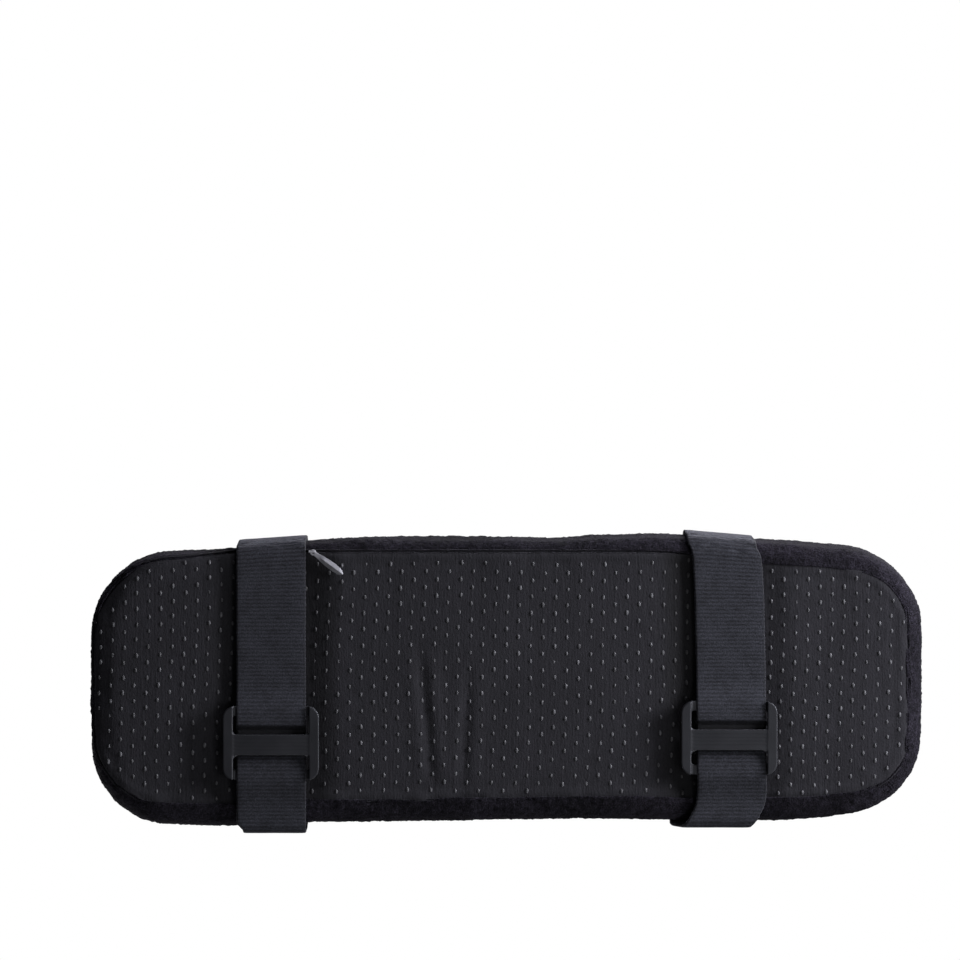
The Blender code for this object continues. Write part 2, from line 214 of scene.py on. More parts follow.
def thickened(obj, thickness):
    add_modifier(obj, "thickness", "SOLIDIFY", thickness=thickness * MM, offset=-1)
    return applied(obj)


def lightened(obj, count, ratio):
    """Fewer faces on the hidden inner side: the points after the first count."""
    group = obj.vertex_groups.new(name="inner")
    group.add(list(range(count, len(obj.data.vertices))), 1.0, "REPLACE")
    add_modifier(obj, "lighter", "DECIMATE", ratio=ratio, vertex_group="inner")
    return applied(obj)


def outward(obj):
    mesh = bmesh.new()
    mesh.from_mesh(obj.data)
    bmesh.ops.recalc_face_normals(mesh, faces=mesh.faces)
    mesh.to_mesh(obj.data)
    mesh.free()
    obj.data.update()
    return obj


def dress(obj, material, body=None, nodes=()):
    """Give a piece its material, the body it rides on and the nodes it replaces."""
    obj.data.materials.clear()
    obj.data.materials.append(material)
    if body:
        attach(obj, body)
    if nodes:
        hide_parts(*nodes)


# ---------------------------------------------------------------- materials
class Net:
    """Short way to write a node material. Scales are per metre, bump heights in metres."""

    def __init__(self, name):
        self.material = bpy.data.materials.new(name)
        self.material.use_nodes = True
        self.tree = self.material.node_tree
        self.shader = self.tree.nodes["Principled BSDF"]

    @cached_property
    def place(self):
        """Object coordinates."""
        return self.new("ShaderNodeTexCoord").outputs["Object"]

    def link(self, source, target):
        self.tree.links.new(source, target)

    def fill(self, node, inputs):
        """Link or set the node's inputs."""
        for key, value in inputs.items():
            if isinstance(value, bpy.types.NodeSocket):
                self.link(value, node.inputs[key])
            else:
                node.inputs[key].default_value = value

    def new(self, kind, inputs=None, **settings):
        node = self.tree.nodes.new(kind)
        for key, value in settings.items():
            setattr(node, key, value)
        self.fill(node, inputs or {})
        return node

    def noise(self, scale, detail, rough=0.5, distortion=0.0, vector=None):
        node = self.new("ShaderNodeTexNoise", {
            "Vector": vector or self.place, "Scale": scale, "Detail": detail,
            "Roughness": rough, "Distortion": distortion})
        return node.outputs["Fac"]

    def stretched(self, scales, detail, rough=0.5, vector=None, rotation=(0, 0, 0)):
        """Noise with its own scale along each axis."""
        mapping = self.new("ShaderNodeMapping", {
            "Vector": vector or self.place, "Scale": scales, "Rotation": rotation})
        return self.noise(1.0, detail, rough, vector=mapping.outputs["Vector"])

    def ramp(self, value, *stops):
        """Colour ramp through two stops of (position, colour or grey level)."""
        node = self.new("ShaderNodeValToRGB", {"Fac": value})
        for element, (position, colour) in zip(node.color_ramp.elements, stops):
            element.position = position
            element.color = (*(colour if isinstance(colour, tuple) else (colour,) * 3), 1)
        return node.outputs["Color"]

    def math(self, operation, first, second=0.0):
        node = self.new("ShaderNodeMath", {0: first, 1: second}, operation=operation)
        return node.outputs["Value"]

    def weighted(self, *terms):
        """Sum of (value, weight) terms."""
        total = self.math("MULTIPLY", *terms[0])
        for term in terms[1:]:
            total = self.math("ADD", total, self.math("MULTIPLY", *term))
        return total

    def mix(self, factor, first, second, blend="MIX"):
        # Inputs 6 and 7 are the mix node's two colours, output 2 its colour.
        node = self.new("ShaderNodeMix", {}, data_type="RGBA", blend_type=blend)
        self.fill(node, {0: factor, 6: first, 7: second})
        return node.outputs[2]

    def tinted(self, colour, tint):
        return self.mix(1.0, colour, tint, "MULTIPLY")

    def attribute(self, name):
        return self.new("ShaderNodeAttribute", attribute_name=name).outputs["Fac"]

    def painted_loop_shade(self, colour):
        """Darker by painted shade beside the loops, where their cast shadows and dents fall."""
        return self.tinted(colour, self.ramp(self.attribute("shaded"), (0.0, 1), (1.0, 0)))

    def bump(self, height, distance, strength):
        node = self.new("ShaderNodeBump", {
            "Distance": distance, "Strength": strength, "Height": height})
        return node.outputs["Normal"]

    def surface(self, **inputs):
        self.fill(self.shader, {key.replace("_", " "): value for key, value in inputs.items()})
        return self.material


def velvet(name, dark, light, sheen):
    net = Net(name)
    # Brushed patches: the pile leans different ways.
    patches = net.noise(scale=42, detail=3, rough=0.55, distortion=0.6)
    streaks = net.stretched((1300, 330, 800), detail=4, rough=0.65)
    fibres = net.noise(scale=2300, detail=3, rough=0.7)
    clumps = net.noise(scale=640, detail=4, rough=0.65, distortion=0.4)
    lean = net.weighted((patches, 0.34), (streaks, 0.30), (clumps, 0.36))
    colour = net.ramp(lean, (0.42, dark), (0.60, light))
    specks = net.ramp(fibres, (0.38, 0.28), (0.62, (1.84, 1.80, 1.92)))
    colour = net.tinted(colour, specks)
    height = net.weighted((fibres, 0.5), (clumps, 0.8))
    normal = net.bump(height, distance=0.0011, strength=0.8)
    sheen_amount = net.math("MULTIPLY", net.ramp(lean, (0.34, 0.35), (0.66, 1.0)), sheen)
    return net.surface(
        Base_Color=colour, Roughness=0.95, Sheen_Weight=sheen_amount, Sheen_Roughness=0.42,
        Sheen_Tint=(0.70, 0.64, 0.88, 1), Specular_IOR_Level=0.08, Normal=normal)


def grip_fabric():
    net = Net("grip_weave")
    # Fine lines run across the pad, broken up and uneven, as in a brushed knit.
    lines = net.stretched((1500, 170, 400), detail=3, rough=0.6)
    knit = net.stretched((1900, 1150, 1200), detail=2, rough=0.55)
    broad = net.stretched((240, 14, 60), detail=3, rough=0.55)
    patches = net.noise(scale=46, detail=3)
    grain = net.noise(scale=3600, detail=2)
    tone = net.weighted((lines, 0.38), (knit, 0.24), (broad, 0.20), (patches, 0.18))
    colour = net.ramp(tone, (0.36, (0.0066, 0.0064, 0.0083)), (0.62, (0.0154, 0.0150, 0.0186)))
    colour = net.tinted(colour, net.ramp(grain, (0.3, 0.80), (0.7, 1.18)))
    # Painted shade beside the loops.
    colour = net.painted_loop_shade(colour)
    height = net.weighted((lines, 0.7), (knit, 0.6))
    normal = net.bump(height, distance=0.00030, strength=0.7)
    return net.surface(
        Base_Color=colour, Roughness=0.86, Specular_IOR_Level=0.16, Sheen_Weight=0.03,
        Sheen_Roughness=0.5, Sheen_Tint=(0.75, 0.72, 0.9, 1), Normal=normal)


def silicone():
    net = Net("silicone_dots")
    grain = net.noise(scale=900, detail=2)
    dusty = net.noise(scale=70, detail=3, rough=0.6)
    colour = net.ramp(grain, (0.3, (0.040, 0.040, 0.045)), (0.7, (0.070, 0.070, 0.078)))
    colour = net.tinted(colour, net.ramp(dusty, (0.35, 0.55), (0.65, 1.15)))
    # Painted shade beside the loops, on the dots too.
    colour = net.painted_loop_shade(colour)
    return net.surface(Base_Color=colour, Roughness=0.55, Specular_IOR_Level=0.28)


def elastic():
    """Woven elastic, laid out by the strap's own along and across values, in mm."""
    net = Net("elastic_weave")
    along, across = net.attribute("along"), net.attribute("across")
    strip = net.new("ShaderNodeCombineXYZ", {"X": along, "Y": across}).outputs["Vector"]
    wander = net.stretched((0.5, 1.1, 1), detail=2, vector=strip)
    phase = net.math("ADD", along, net.math("MULTIPLY", wander, 0.55))
    rib = net.math("SINE", net.math("MULTIPLY", phase, 2 * math.pi / RIB_PITCH))
    rib = net.math("ADD", net.math("MULTIPLY", rib, 0.5), 0.5)
    thread = net.stretched((2.3, 0.75, 1), detail=3, rough=0.7, vector=strip)
    fibre = net.stretched((2.6, 2.2, 1), detail=3, rough=0.75, vector=strip)
    patch = net.stretched((0.11, 0.16, 1), detail=3, rough=0.55, vector=strip)
    cloudy = net.stretched((0.5, 0.35, 1), detail=2, vector=strip)
    tone = net.weighted((rib, 0.16), (thread, 0.39), (patch, 0.25), (cloudy, 0.20))
    colour = net.ramp(tone, (0.36, (0.0062, 0.0066, 0.0090)), (0.60, (0.0214, 0.0224, 0.0296)))
    fine = net.ramp(fibre, (0.37, 0.48), (0.63, 1.46))
    # Painted shade along both edges of the strap, where the key light would catch them.
    half_width = 10.5
    from_edge = net.math("SUBTRACT", half_width, net.math("ABSOLUTE", across))
    edge_shade = net.ramp(net.math("MULTIPLY", from_edge, 0.8), (0.15, 0.50), (0.75, 1.0))
    fine = net.tinted(fine, edge_shade)
    # Painted shade: the webbing is darkened almost to black where the buckle covers it, deep in
    # the slot under the bar.
    fine = net.tinted(fine, net.ramp(net.attribute("slot_unshaded"), (0.0, 0.22), (1.0, 1.0)))
    colour = net.tinted(colour, fine)
    height = net.weighted((thread, 0.5), (fibre, 0.7))
    normal = net.bump(height, distance=0.00034, strength=0.7)
    return net.surface(
        Base_Color=colour, Roughness=0.84, Specular_IOR_Level=0.18, Sheen_Weight=0.10,
        Sheen_Roughness=0.35, Sheen_Tint=(0.72, 0.72, 0.92, 1), Normal=normal)


def plastic():
    net = Net("buckle_moulded")
    grain = net.noise(scale=2400, detail=2)
    soft = net.noise(scale=140, detail=2)
    colour = net.ramp(soft, (0.3, (0.0042, 0.0043, 0.0054)), (0.7, (0.0064, 0.0066, 0.0080)))
    # Edges are worn paler.
    pointiness = net.new("ShaderNodeNewGeometry").outputs["Pointiness"]
    wear = net.ramp(pointiness, (0.50, 0), (0.60, 1))
    colour = net.mix(net.math("MULTIPLY", wear, 0.35), colour, (0.030, 0.030, 0.035, 1))
    rough = net.math("ADD", net.math("MULTIPLY", soft, 0.12), 0.39)
    return net.surface(
        Base_Color=colour, Roughness=rough, Specular_IOR_Level=0.40,
        Specular_Tint=(0.88, 0.90, 1.0, 1), Normal=net.bump(grain, distance=0.00006, strength=0.5))


def zinc():
    net = Net("zip_metal_plated")
    brushed = net.stretched((900, 4200, 2500), detail=3, rough=0.6, rotation=(0, 0, -0.63))
    soft = net.noise(scale=300, detail=2)
    colour = net.ramp(soft, (0.3, (0.17, 0.17, 0.19)), (0.7, (0.27, 0.27, 0.295)))
    rough = net.math("ADD", net.math("MULTIPLY", brushed, 0.25), 0.46)
    return net.surface(Base_Color=colour, Metallic=1.0, Roughness=rough,
                       Normal=net.bump(brushed, distance=0.00003, strength=0.5))


def tape():
    net = Net("zip_tape_woven")
    wave = net.new("ShaderNodeTexWave", {"Scale": 700, "Vector": net.place},
                   bands_direction="DIAGONAL")
    grain = net.noise(scale=2500, detail=2)
    tone = net.weighted((wave.outputs["Fac"], 0.5), (grain, 0.5))
    colour = net.ramp(tone, (0.3, (0.008, 0.008, 0.010)), (0.7, (0.022, 0.022, 0.025)))
    return net.surface(Base_Color=colour, Roughness=0.85,
                       Normal=net.bump(tone, distance=0.0002, strength=0.5))


def nylon():
    net = Net("zip_coil_nylon")
    grain = net.noise(scale=800, detail=2)
    colour = net.ramp(grain, (0.3, (0.012, 0.012, 0.013)), (0.7, (0.024, 0.024, 0.026)))
    return net.surface(Base_Color=colour, Roughness=0.42,
                       Normal=net.bump(grain, distance=0.00008, strength=0.4))


def foam_cells():
    net = Net("foam_open_cell")
    cells = net.new("ShaderNodeTexVoronoi", {"Scale": 1400, "Vector": net.place})
    distance = cells.outputs["Distance"]
    soft = net.noise(scale=70, detail=3)
    colour = net.ramp(soft, (0.3, (0.030, 0.030, 0.034)), (0.7, (0.048, 0.048, 0.053)))
    colour = net.tinted(colour, net.ramp(distance, (0.05, 0.55), (0.5, 1.0)))
    return net.surface(Base_Color=colour, Roughness=0.95,
                       Normal=net.bump(distance, distance=0.0005, strength=0.7))


VELVET_TOP = velvet("velvet_top_pile", dark=(0.0040, 0.0038, 0.0052),
                    light=(0.0135, 0.0128, 0.0168), sheen=0.050)
VELVET_BAND = velvet("velvet_band_pile", dark=(0.0028, 0.0026, 0.0036),
                     light=(0.0122, 0.0111, 0.0152), sheen=0.042)
GRIP, SILICONE, ELASTIC = grip_fabric(), silicone(), elastic()
PLASTIC, ZINC, TAPE, NYLON, FOAM = plastic(), zinc(), tape(), nylon(), foam_cells()

# ---------------------------------------------------------------- pad shape
pad_low, pad_high = mm_box("side_band")
slider_low, slider_high = mm_box("zip_slider")
LEFT_X, RIGHT_X, TOP_Z = pad_low[0], pad_high[0], pad_high[2]
HALF_WIDTH = (pad_high[1] - pad_low[1]) / 2
PLAN_RADIUS = 23.0
CLOTH = 0.9                        # thickness of the cover's cloth

# Long sides in plan, as (x, y): a little uneven, fuller in the middle.
SIDE_ZIP = curve_of([
    (-125, -35.4), (-109, -36.4), (-102, -36.7), (-94, -37.0), (-87, -37.2), (-80, -37.7),
    (-68, -39.2), (-58, -40.2), (-51, -40.6), (-42, -41.4), (-36, -41.3), (-29, -40.9),
    (-22, -41.1), (-14, -41.0), (0, -41.2), (7, -40.7), (14, -40.7), (21, -41.1),
    (28, -41.7), (35, -41.4), (43, -42.1), (50, -42.0), (60, -41.6), (70, -40.8),
    (79, -40.2), (86, -40.1), (93, -39.3), (100, -38.7), (108, -38.2), (125, -37.5)], blur=3.5)
SIDE_FAR = curve_of([
    (-125, 45.4), (-109, 45.6), (-102, 45.5), (-94, 45.8), (-87, 46.1), (-80, 45.8),
    (-68, 45.0), (-58, 44.7), (-44, 44.7), (-29, 44.6), (-15, 44.4), (0, 44.0),
    (14, 43.8), (36, 43.7), (43, 44.0), (60, 44.1), (79, 44.3), (86, 44.2),
    (93, 43.7), (100, 42.8), (108, 42.0), (125, 41.5)], blur=4.0)

# Rounding of the edges, as (reach inwards, rise).
LOW_ROUND = (6.5, 8.0)             # underside
ZIP_ROUND = (4.2, 5.0)             # underside along the zip, which is tighter
TOP_ROUND = (8.0, 9.0)             # velvet side

# Inset from the pad's outline: left, right, zip (from a zip line), far.
PANEL_IN = (1.5, 4.4, None, 7.1)
LIP_IN = (1.4, 4.28, None, 6.98)
PANEL_RADII = (PLAN_RADIUS - 1.4, PLAN_RADIUS - 4.9)     # left and right corners
LIP_RADII = (PLAN_RADIUS - 1.3, PLAN_RADIUS - 4.78)
TOP_PANEL_IN, TOP_BAND_IN = 6.44, 6.3
ZIP_START, ZIP_END = slider_low[0] - 10, slider_high[0] + 92

# Grid of the faces: cells in a corner, and in the straight parts between.
CORNER_CELLS, MIDDLE_X, MIDDLE_Y = 6, 64, 13
CORNER = np.append(np.linspace(0, 0.95, CORNER_CELLS), 1.0)
CELLS_X, CELLS_Y = 2 * CORNER_CELLS + MIDDLE_X, 2 * CORNER_CELLS + MIDDLE_Y
EDGE = ([(i, 0) for i in range(CELLS_X + 1)] + [(CELLS_X, j) for j in range(1, CELLS_Y + 1)]
        + [(i, CELLS_Y) for i in range(CELLS_X - 1, -1, -1)]
        + [(0, j) for j in range(CELLS_Y - 1, 0, -1)])
EDGE_IJ = np.array(EDGE).T
EDGE_COUNT = len(EDGE)
GRID_IJ = np.meshgrid(np.arange(CELLS_X + 1), np.arange(CELLS_Y + 1), indexing="ij")


def end_bow(y):
    """The two ends are a little rounded in plan."""
    return 0.9 * (1 - np.clip(np.abs(y - 2) / 32, 0, 1) ** 2)


def axis_parts(index, middle):
    """In the low corner, in the high corner, share of the corner, share of the middle."""
    low, high = index < CORNER_CELLS, index > CORNER_CELLS + middle
    into_low = CORNER[np.clip(CORNER_CELLS - index, 0, CORNER_CELLS)]
    into_high = CORNER[np.clip(index - CORNER_CELLS - middle, 0, CORNER_CELLS)]
    corner = np.where(low, into_low, np.where(high, into_high, 0.0))
    return low, high, corner, np.clip((index - CORNER_CELLS) / middle, 0, 1)


def plan(grid, insets, radii, zip_side=None):
    """x, y and outward direction of grid points on the rounded plan. zip_side, where
    given, is the y of the zip edge at x, and takes the place of the zip inset."""
    left_in, right_in, zip_in, far_in = insets
    left_radius, right_radius = radii
    start, end = LEFT_X + left_in, RIGHT_X - right_in
    left, right, corner_x, share_x = axis_parts(grid[0], MIDDLE_X)
    near, far, corner_y, share_y = axis_parts(grid[1], MIDDLE_Y)
    radius = np.where(left, left_radius, np.where(
        right, right_radius, left_radius + (right_radius - left_radius) * share_x))
    round_x = corner_x * np.sqrt(1 - corner_y * corner_y / 2)
    round_y = corner_y * np.sqrt(1 - corner_x * corner_x / 2)
    x = np.where(left, start + radius - round_x * radius, np.where(
        right, end - radius + round_x * radius,
        start + left_radius + (end - start - left_radius - right_radius) * share_x))
    y = np.where(near, -HALF_WIDTH + radius - round_y * radius, np.where(
        far, HALF_WIDTH - radius + round_y * radius,
        -HALF_WIDTH + radius + (2 * HALF_WIDTH - 2 * radius) * share_y))
    share = (y + HALF_WIDTH) / (2 * HALF_WIDTH)
    zip_y = zip_side(x) if zip_side else SIDE_ZIP(x) + zip_in
    y = zip_y + share * (SIDE_FAR(x) - far_in - zip_y)
    x = x + np.sign(x) * smooth(np.abs(x), 92, 122) * end_bow(y)
    out_x = np.where(left, -round_x, np.where(right, round_x, 0.0))
    out_y = np.where(near, -round_y, np.where(far, round_y, 0.0))
    return x, y, out_x, out_y


def zip_line(straight_y, inset_left, inset_right):
    """Along the zip the seam is straight; beyond its ends it follows the outline."""
    def line(x):
        inset = inset_left + (inset_right - inset_left) * smooth(x, -60, 60)
        straight = smooth(x, ZIP_START - 30, ZIP_START) * smooth(x, ZIP_END + 40, ZIP_END)
        return straight * straight_y + (1 - straight) * (SIDE_ZIP(x) + inset)
    return line


panel_zip = zip_line(mm_box("bottom_panel")[0][1] - 0.12, 1.2, 5.4)
lip_zip = zip_line(-38.4, 1.1, 5.28)


def outline_inset(x, y):
    """Distance in from the pad's outline."""
    from_x = np.minimum(x - LEFT_X, RIGHT_X - x) + end_bow(y)
    from_y = np.minimum(y - SIDE_ZIP(x), SIDE_FAR(x) - y)
    in_corner = (from_x < PLAN_RADIUS) & (from_y < PLAN_RADIUS)
    from_corner = PLAN_RADIUS - np.hypot(PLAN_RADIUS - from_x, PLAN_RADIUS - from_y)
    return np.maximum(np.where(in_corner, from_corner, np.minimum(from_x, from_y)), 0)


def zip_share(x, y):
    """How far the nearest part of the outline belongs to the zip side, 0 to 1."""
    ends, zip_part, far = [
        np.clip(PLAN_RADIUS - distance, 0, None) ** 2
        for distance in (np.minimum(x - LEFT_X, RIGHT_X - x), y - SIDE_ZIP(x), SIDE_FAR(x) - y)]
    return zip_part / np.maximum(ends + zip_part + far, 1e-9)


def rounded_edge(x, y, reach, rise):
    """How far the rounded edge has turned away from the flat face."""
    across = np.clip(1 - outline_inset(x, y) / reach, 0, 1)
    return rise * (1 - np.sqrt(np.clip(1 - across ** 2, 0, 1)))


def low_z(x, y):
    share = zip_share(x, y)
    reach, rise = [low + (tight - low) * share for low, tight in zip(LOW_ROUND, ZIP_ROUND)]
    return rounded_edge(x, y, reach, rise)


def top_z(x, y):
    return TOP_Z - rounded_edge(x, y, *TOP_ROUND)


def face_grid(insets, radii, zip_side, z_of):
    x, y = plan(GRID_IJ, insets, radii, zip_side)[:2]
    return np.stack([x, y, z_of(x, y)], -1)


low_grid = face_grid(PANEL_IN, PANEL_RADII, panel_zip, low_z)
top_grid = face_grid((TOP_PANEL_IN,) * 4, (PLAN_RADIUS - TOP_PANEL_IN,) * 2, None, top_z)

lip_x, lip_y, out_x, out_y = plan(EDGE_IJ, LIP_IN, LIP_RADII, lip_zip)


def even_ring(inset, z):
    x, y = plan(EDGE_IJ, (inset,) * 4, (PLAN_RADIUS - inset,) * 2)[:2]
    return x, y, np.full(EDGE_COUNT, z)


def low_rings():
    """Rings from the underside lip round the edge to the wall."""
    side_shares = [np.clip(value, 0, 1) ** 2 for value in (-out_x, out_x, -out_y, out_y)]
    lip_insets = [lip_zip(lip_x) - SIDE_ZIP(lip_x) if inset is None
                  else np.full(EDGE_COUNT, inset) for inset in LIP_IN]
    roundings = (LOW_ROUND, LOW_ROUND, ZIP_ROUND, LOW_ROUND)
    starts = [np.arcsin(np.clip(1 - np.minimum(inset, reach) / reach, 0, 1))
              for inset, (reach, _) in zip(lip_insets, roundings)]
    rings = []
    for step in (0, 0.10, 0.36, 0.62, 0.83, 1.0):
        insets, heights = [], []
        for start, lip, (reach, rise) in zip(starts, LIP_IN, roundings):
            angle = start + (math.pi / 2 - start) * step
            flat = 0 if lip is None else max(0.0, lip - reach)
            insets.append(reach * (1 - np.sin(angle)) + flat * (1 - step))
            heights.append(rise * (1 - np.cos(angle)))
        x, y = lip_x, lip_y
        if step > 0:
            left, right, far = (float(np.mean(insets[k])) for k in (0, 1, 3))
            zip_insets = insets[2][:CELLS_X + 1]
            x, y = plan(
                EDGE_IJ, (left, right, None, far), (PLAN_RADIUS - left, PLAN_RADIUS - right),
                lambda x: SIDE_ZIP(x) + np.interp(x, lip_x[:CELLS_X + 1], zip_insets))[:2]
        z = sum(share * height for share, height in zip(side_shares, heights)) / sum(side_shares)
        rings.append((x, y, z))
    return rings


def wall_rings():
    wall = TOP_Z - TOP_ROUND[1] - LOW_ROUND[1]
    return [even_ring(0, LOW_ROUND[1] + wall * step) for step in (0.34, 0.68)]


def top_rings():
    """Rings from the wall round the upper edge to the velvet seam."""
    reach, rise = TOP_ROUND
    last = math.asin(1 - TOP_BAND_IN / reach)
    rings = []
    for step in (0, 0.24, 0.48, 0.70, 0.90, 1.0):
        angle = math.pi / 2 + (last - math.pi / 2) * step
        rings.append(even_ring(reach * (1 - math.sin(angle)),
                               TOP_Z - rise * (1 - math.cos(angle))))
    return rings


band = np.stack([np.stack(ring, -1) for ring in low_rings() + wall_rings() + top_rings()], 0)
LAST_RING = len(band) - 1

# One closed cage: underside grid, band, velvet grid.
GRID_COUNT = (CELLS_X + 1) * (CELLS_Y + 1)
TOP_BASE = GRID_COUNT + len(band) * EDGE_COUNT
flat_cage = np.concatenate([part.reshape(-1, 3) for part in (low_grid, band, top_grid)])


def grid_id(i, j, base=0):
    return base + i * (CELLS_Y + 1) + j


def ring_id(ring, k):
    return GRID_COUNT + ring * EDGE_COUNT + k % EDGE_COUNT


def ring_strip(first, second):
    """Faces between two closed rows of ids."""
    return [(first[k - 1], first[k], second[k], second[k - 1])
            for k in (*range(1, EDGE_COUNT), 0)]


CELLS = [(i, j) for i in range(CELLS_X) for j in range(CELLS_Y)]
ring_ids = [[ring_id(ring, k) for k in range(EDGE_COUNT)] for ring in range(LAST_RING + 1)]
low_edge = [grid_id(i, j) for i, j in EDGE]
top_edge = [grid_id(i, j, TOP_BASE) for i, j in EDGE]
lip_ids, top_ring_ids = ring_ids[0], ring_ids[LAST_RING]
low_faces = [(grid_id(i, j), grid_id(i, j + 1), grid_id(i + 1, j + 1), grid_id(i + 1, j))
             for i, j in CELLS]
top_faces = [(grid_id(i, j, TOP_BASE), grid_id(i + 1, j, TOP_BASE),
              grid_id(i + 1, j + 1, TOP_BASE), grid_id(i, j + 1, TOP_BASE)) for i, j in CELLS]
band_faces = [face for pair in zip(ring_ids, ring_ids[1:]) for face in ring_strip(*pair)]
seam_faces = ring_strip(low_edge, lip_ids) + ring_strip(top_ring_ids, top_edge)
cage_faces = low_faces + top_faces + band_faces + seam_faces

# ---------------------------------------------------------------- stuffed cage
strap_box = {side: mm_box(f"strap_{side}_over") for side in SIDES}
travel = []                        # x range that each loop can cover
for side, (low, high) in strap_box.items():
    back, forth = [value / MM for value in joints[f"strap_{side}_shift"]["range_m"]]
    travel.append((low[0] + back, high[0] + forth))


def under_straps(x):
    """1 where a loop can lie, 0 well clear of it."""
    share = np.zeros_like(x)
    for start, end in travel:
        share = np.maximum(share, smooth(x, start - 8, start) * smooth(x, end + 8, end))
    return share


def pressed(x, y):
    """Depth of the dents that the resting loops press into the underside, and where
    the loops rest, 0 to 1."""
    resting = np.zeros_like(x)
    for low, high in strap_box.values():
        start, end = low[0], high[0]
        resting = np.maximum(
            resting, smooth(x, start - 9, start + 1.5) * smooth(x, end + 9, end - 1.5))
    return resting * (0.35 + 1.15 * smooth(outline_inset(x, y), 3, 9)), resting


def inflate(points, faces, pinned, pressure=4.0, frames=20):
    """Points of the closed cage after a cloth simulation with pressure inside."""
    obj = mesh_object("cover_sim", points, faces)
    group = obj.vertex_groups.new(name="pin")
    group.add(pinned, 0.9, "REPLACE")
    cloth = obj.modifiers.new("cloth", "CLOTH")
    settings = cloth.settings
    settings.quality = 6
    settings.mass = 0.25
    settings.tension_stiffness = settings.compression_stiffness = 18
    settings.shear_stiffness = 8
    settings.bending_stiffness = 0.6
    settings.tension_damping = settings.compression_damping = settings.shear_damping = 6
    settings.use_pressure = True
    settings.uniform_pressure_force = pressure
    settings.effector_weights.gravity = 0
    settings.vertex_group_mass = "pin"
    settings.shrink_min = -0.012
    cloth.collision_settings.use_collision = False
    cloth.point_cache.frame_start, cloth.point_cache.frame_end = 1, frames
    for number in range(1, frames + 1):
        scene.frame_set(number)
    graph = bpy.context.evaluated_depsgraph_get()
    moved = points_mm(obj.evaluated_get(graph))
    bpy.data.objects.remove(obj, do_unlink=True)
    scene.frame_set(1)
    return moved


x, y, z = flat_cage.T
moved = inflate(flat_cage, cage_faces,
                sorted(set(low_edge + top_edge + lip_ids + top_ring_ids)))

# Swelling is limited, most of all where the loops can travel.
MOST_MOVE, MOST_SIDEWAYS = 6.0, 0.6
delta = moved - flat_cage
size = np.linalg.norm(delta, axis=1)
delta *= (np.minimum(size, MOST_MOVE) / np.maximum(size, 1e-9))[:, None]
on_low, on_top = z < 3, z > TOP_Z - 3
flat = under_straps(x)
limit_low = 2.6 * (1 - flat) + 0.10 * flat
limit_top = 2.2 * (1 - flat) + 0.35 * flat
swell = delta[:, 2]
swell = np.where(
    on_low, -limit_low * np.tanh(np.maximum(-swell, 0) / np.maximum(limit_low, 1e-3)), swell)
swell = np.where(
    on_top, limit_top * np.tanh(np.maximum(swell, 0) / np.maximum(limit_top, 1e-3)), swell)
sideways = np.clip(delta[:, :2], -MOST_SIDEWAYS, MOST_SIDEWAYS)
sideways[flat > 0.02] *= 0.3
cage = flat_cage + np.column_stack([sideways, swell])

# The sewn seam wanders a little, away from the zip.
seam_start = (cage[low_edge] + cage[lip_ids]) / 2
wander = (0.40 * noise(seam_start, (6.5, 6.5, 9), 14)
          + 0.22 * noise(seam_start, (3.4, 3.4, 9), 15))
sewn = 1 - smooth(seam_start[:, 1], -30, -35) * smooth(seam_start[:, 0], 66, 52)
wander *= 0.08 + 0.92 * sewn
outward_xy = np.column_stack([out_x, out_y])
outward_xy /= np.linalg.norm(outward_xy, axis=1, keepdims=True)
for ids in (low_edge, lip_ids):
    cage[ids, :2] += outward_xy * wander[:, None]
# There the velvet's rolled edge laps a little over the underside.
cage[lip_ids, :2] -= outward_xy * (0.75 * sewn)[:, None]
cage[lip_ids, 2] -= 0.5 * sewn
# Pressed in a little where the loops lie.
dent, resting = pressed(x, y)
cage[:, 2] += np.where(on_low, 0.15 * flat + dent, 0)
cage[:, 2] -= np.where(on_top, 0.10 * flat + 0.25 * resting, 0)

# ---------------------------------------------------------------- cover
low_seam = (cage[low_edge] + cage[lip_ids]) / 2
top_seam = (cage[top_edge] + cage[top_ring_ids]) / 2
UP, DOWN = np.array([0, 0, 1.0]), np.array([0, 0, -1.0])


def sub_piece(name, faces, seams):
    """Own mesh from cage faces, with each open edge rolled over into its seam.
    seams: (ordered edge ids, centre line of the seam, way into the pad, flip faces)."""
    used = sorted({vertex for face in faces for vertex in face})
    index = {vertex: k for k, vertex in enumerate(used)}
    points = [cage[vertex] for vertex in used]
    free = np.ones(len(used))
    lap = dict(zip(lip_ids, (0.3 * sewn).tolist()))
    made = [tuple(index[vertex] for vertex in face) for face in faces]
    for ids, seam, inward, flip in seams:
        edge = cage[ids]
        towards = seam - edge
        length = np.linalg.norm(towards, axis=1, keepdims=True)
        towards = towards / np.maximum(length, 1e-6)
        lateral = np.minimum(length * 0.45, 0.3)
        rows = [[index[vertex] for vertex in ids]]
        free[rows[0]] = [lap.get(vertex, 0.0) for vertex in ids]
        for depth, share in ((0.45, 0.8), (1.5, 1.0)):
            base = len(points)
            points.extend(edge + inward * depth + towards * lateral * share)
            rows.append(list(range(base, base + len(ids))))
        for upper, lower in zip(rows, rows[1:]):
            for k in range(len(ids)):
                after = (k + 1) % len(ids)
                face = (upper[k], upper[after], lower[after], lower[k])
                made.append(face[::-1] if flip else face)
    obj = mesh_object(name, np.array(points), made)
    add_attribute(obj, "free", np.append(free, np.zeros(len(points) - len(free))))
    return obj


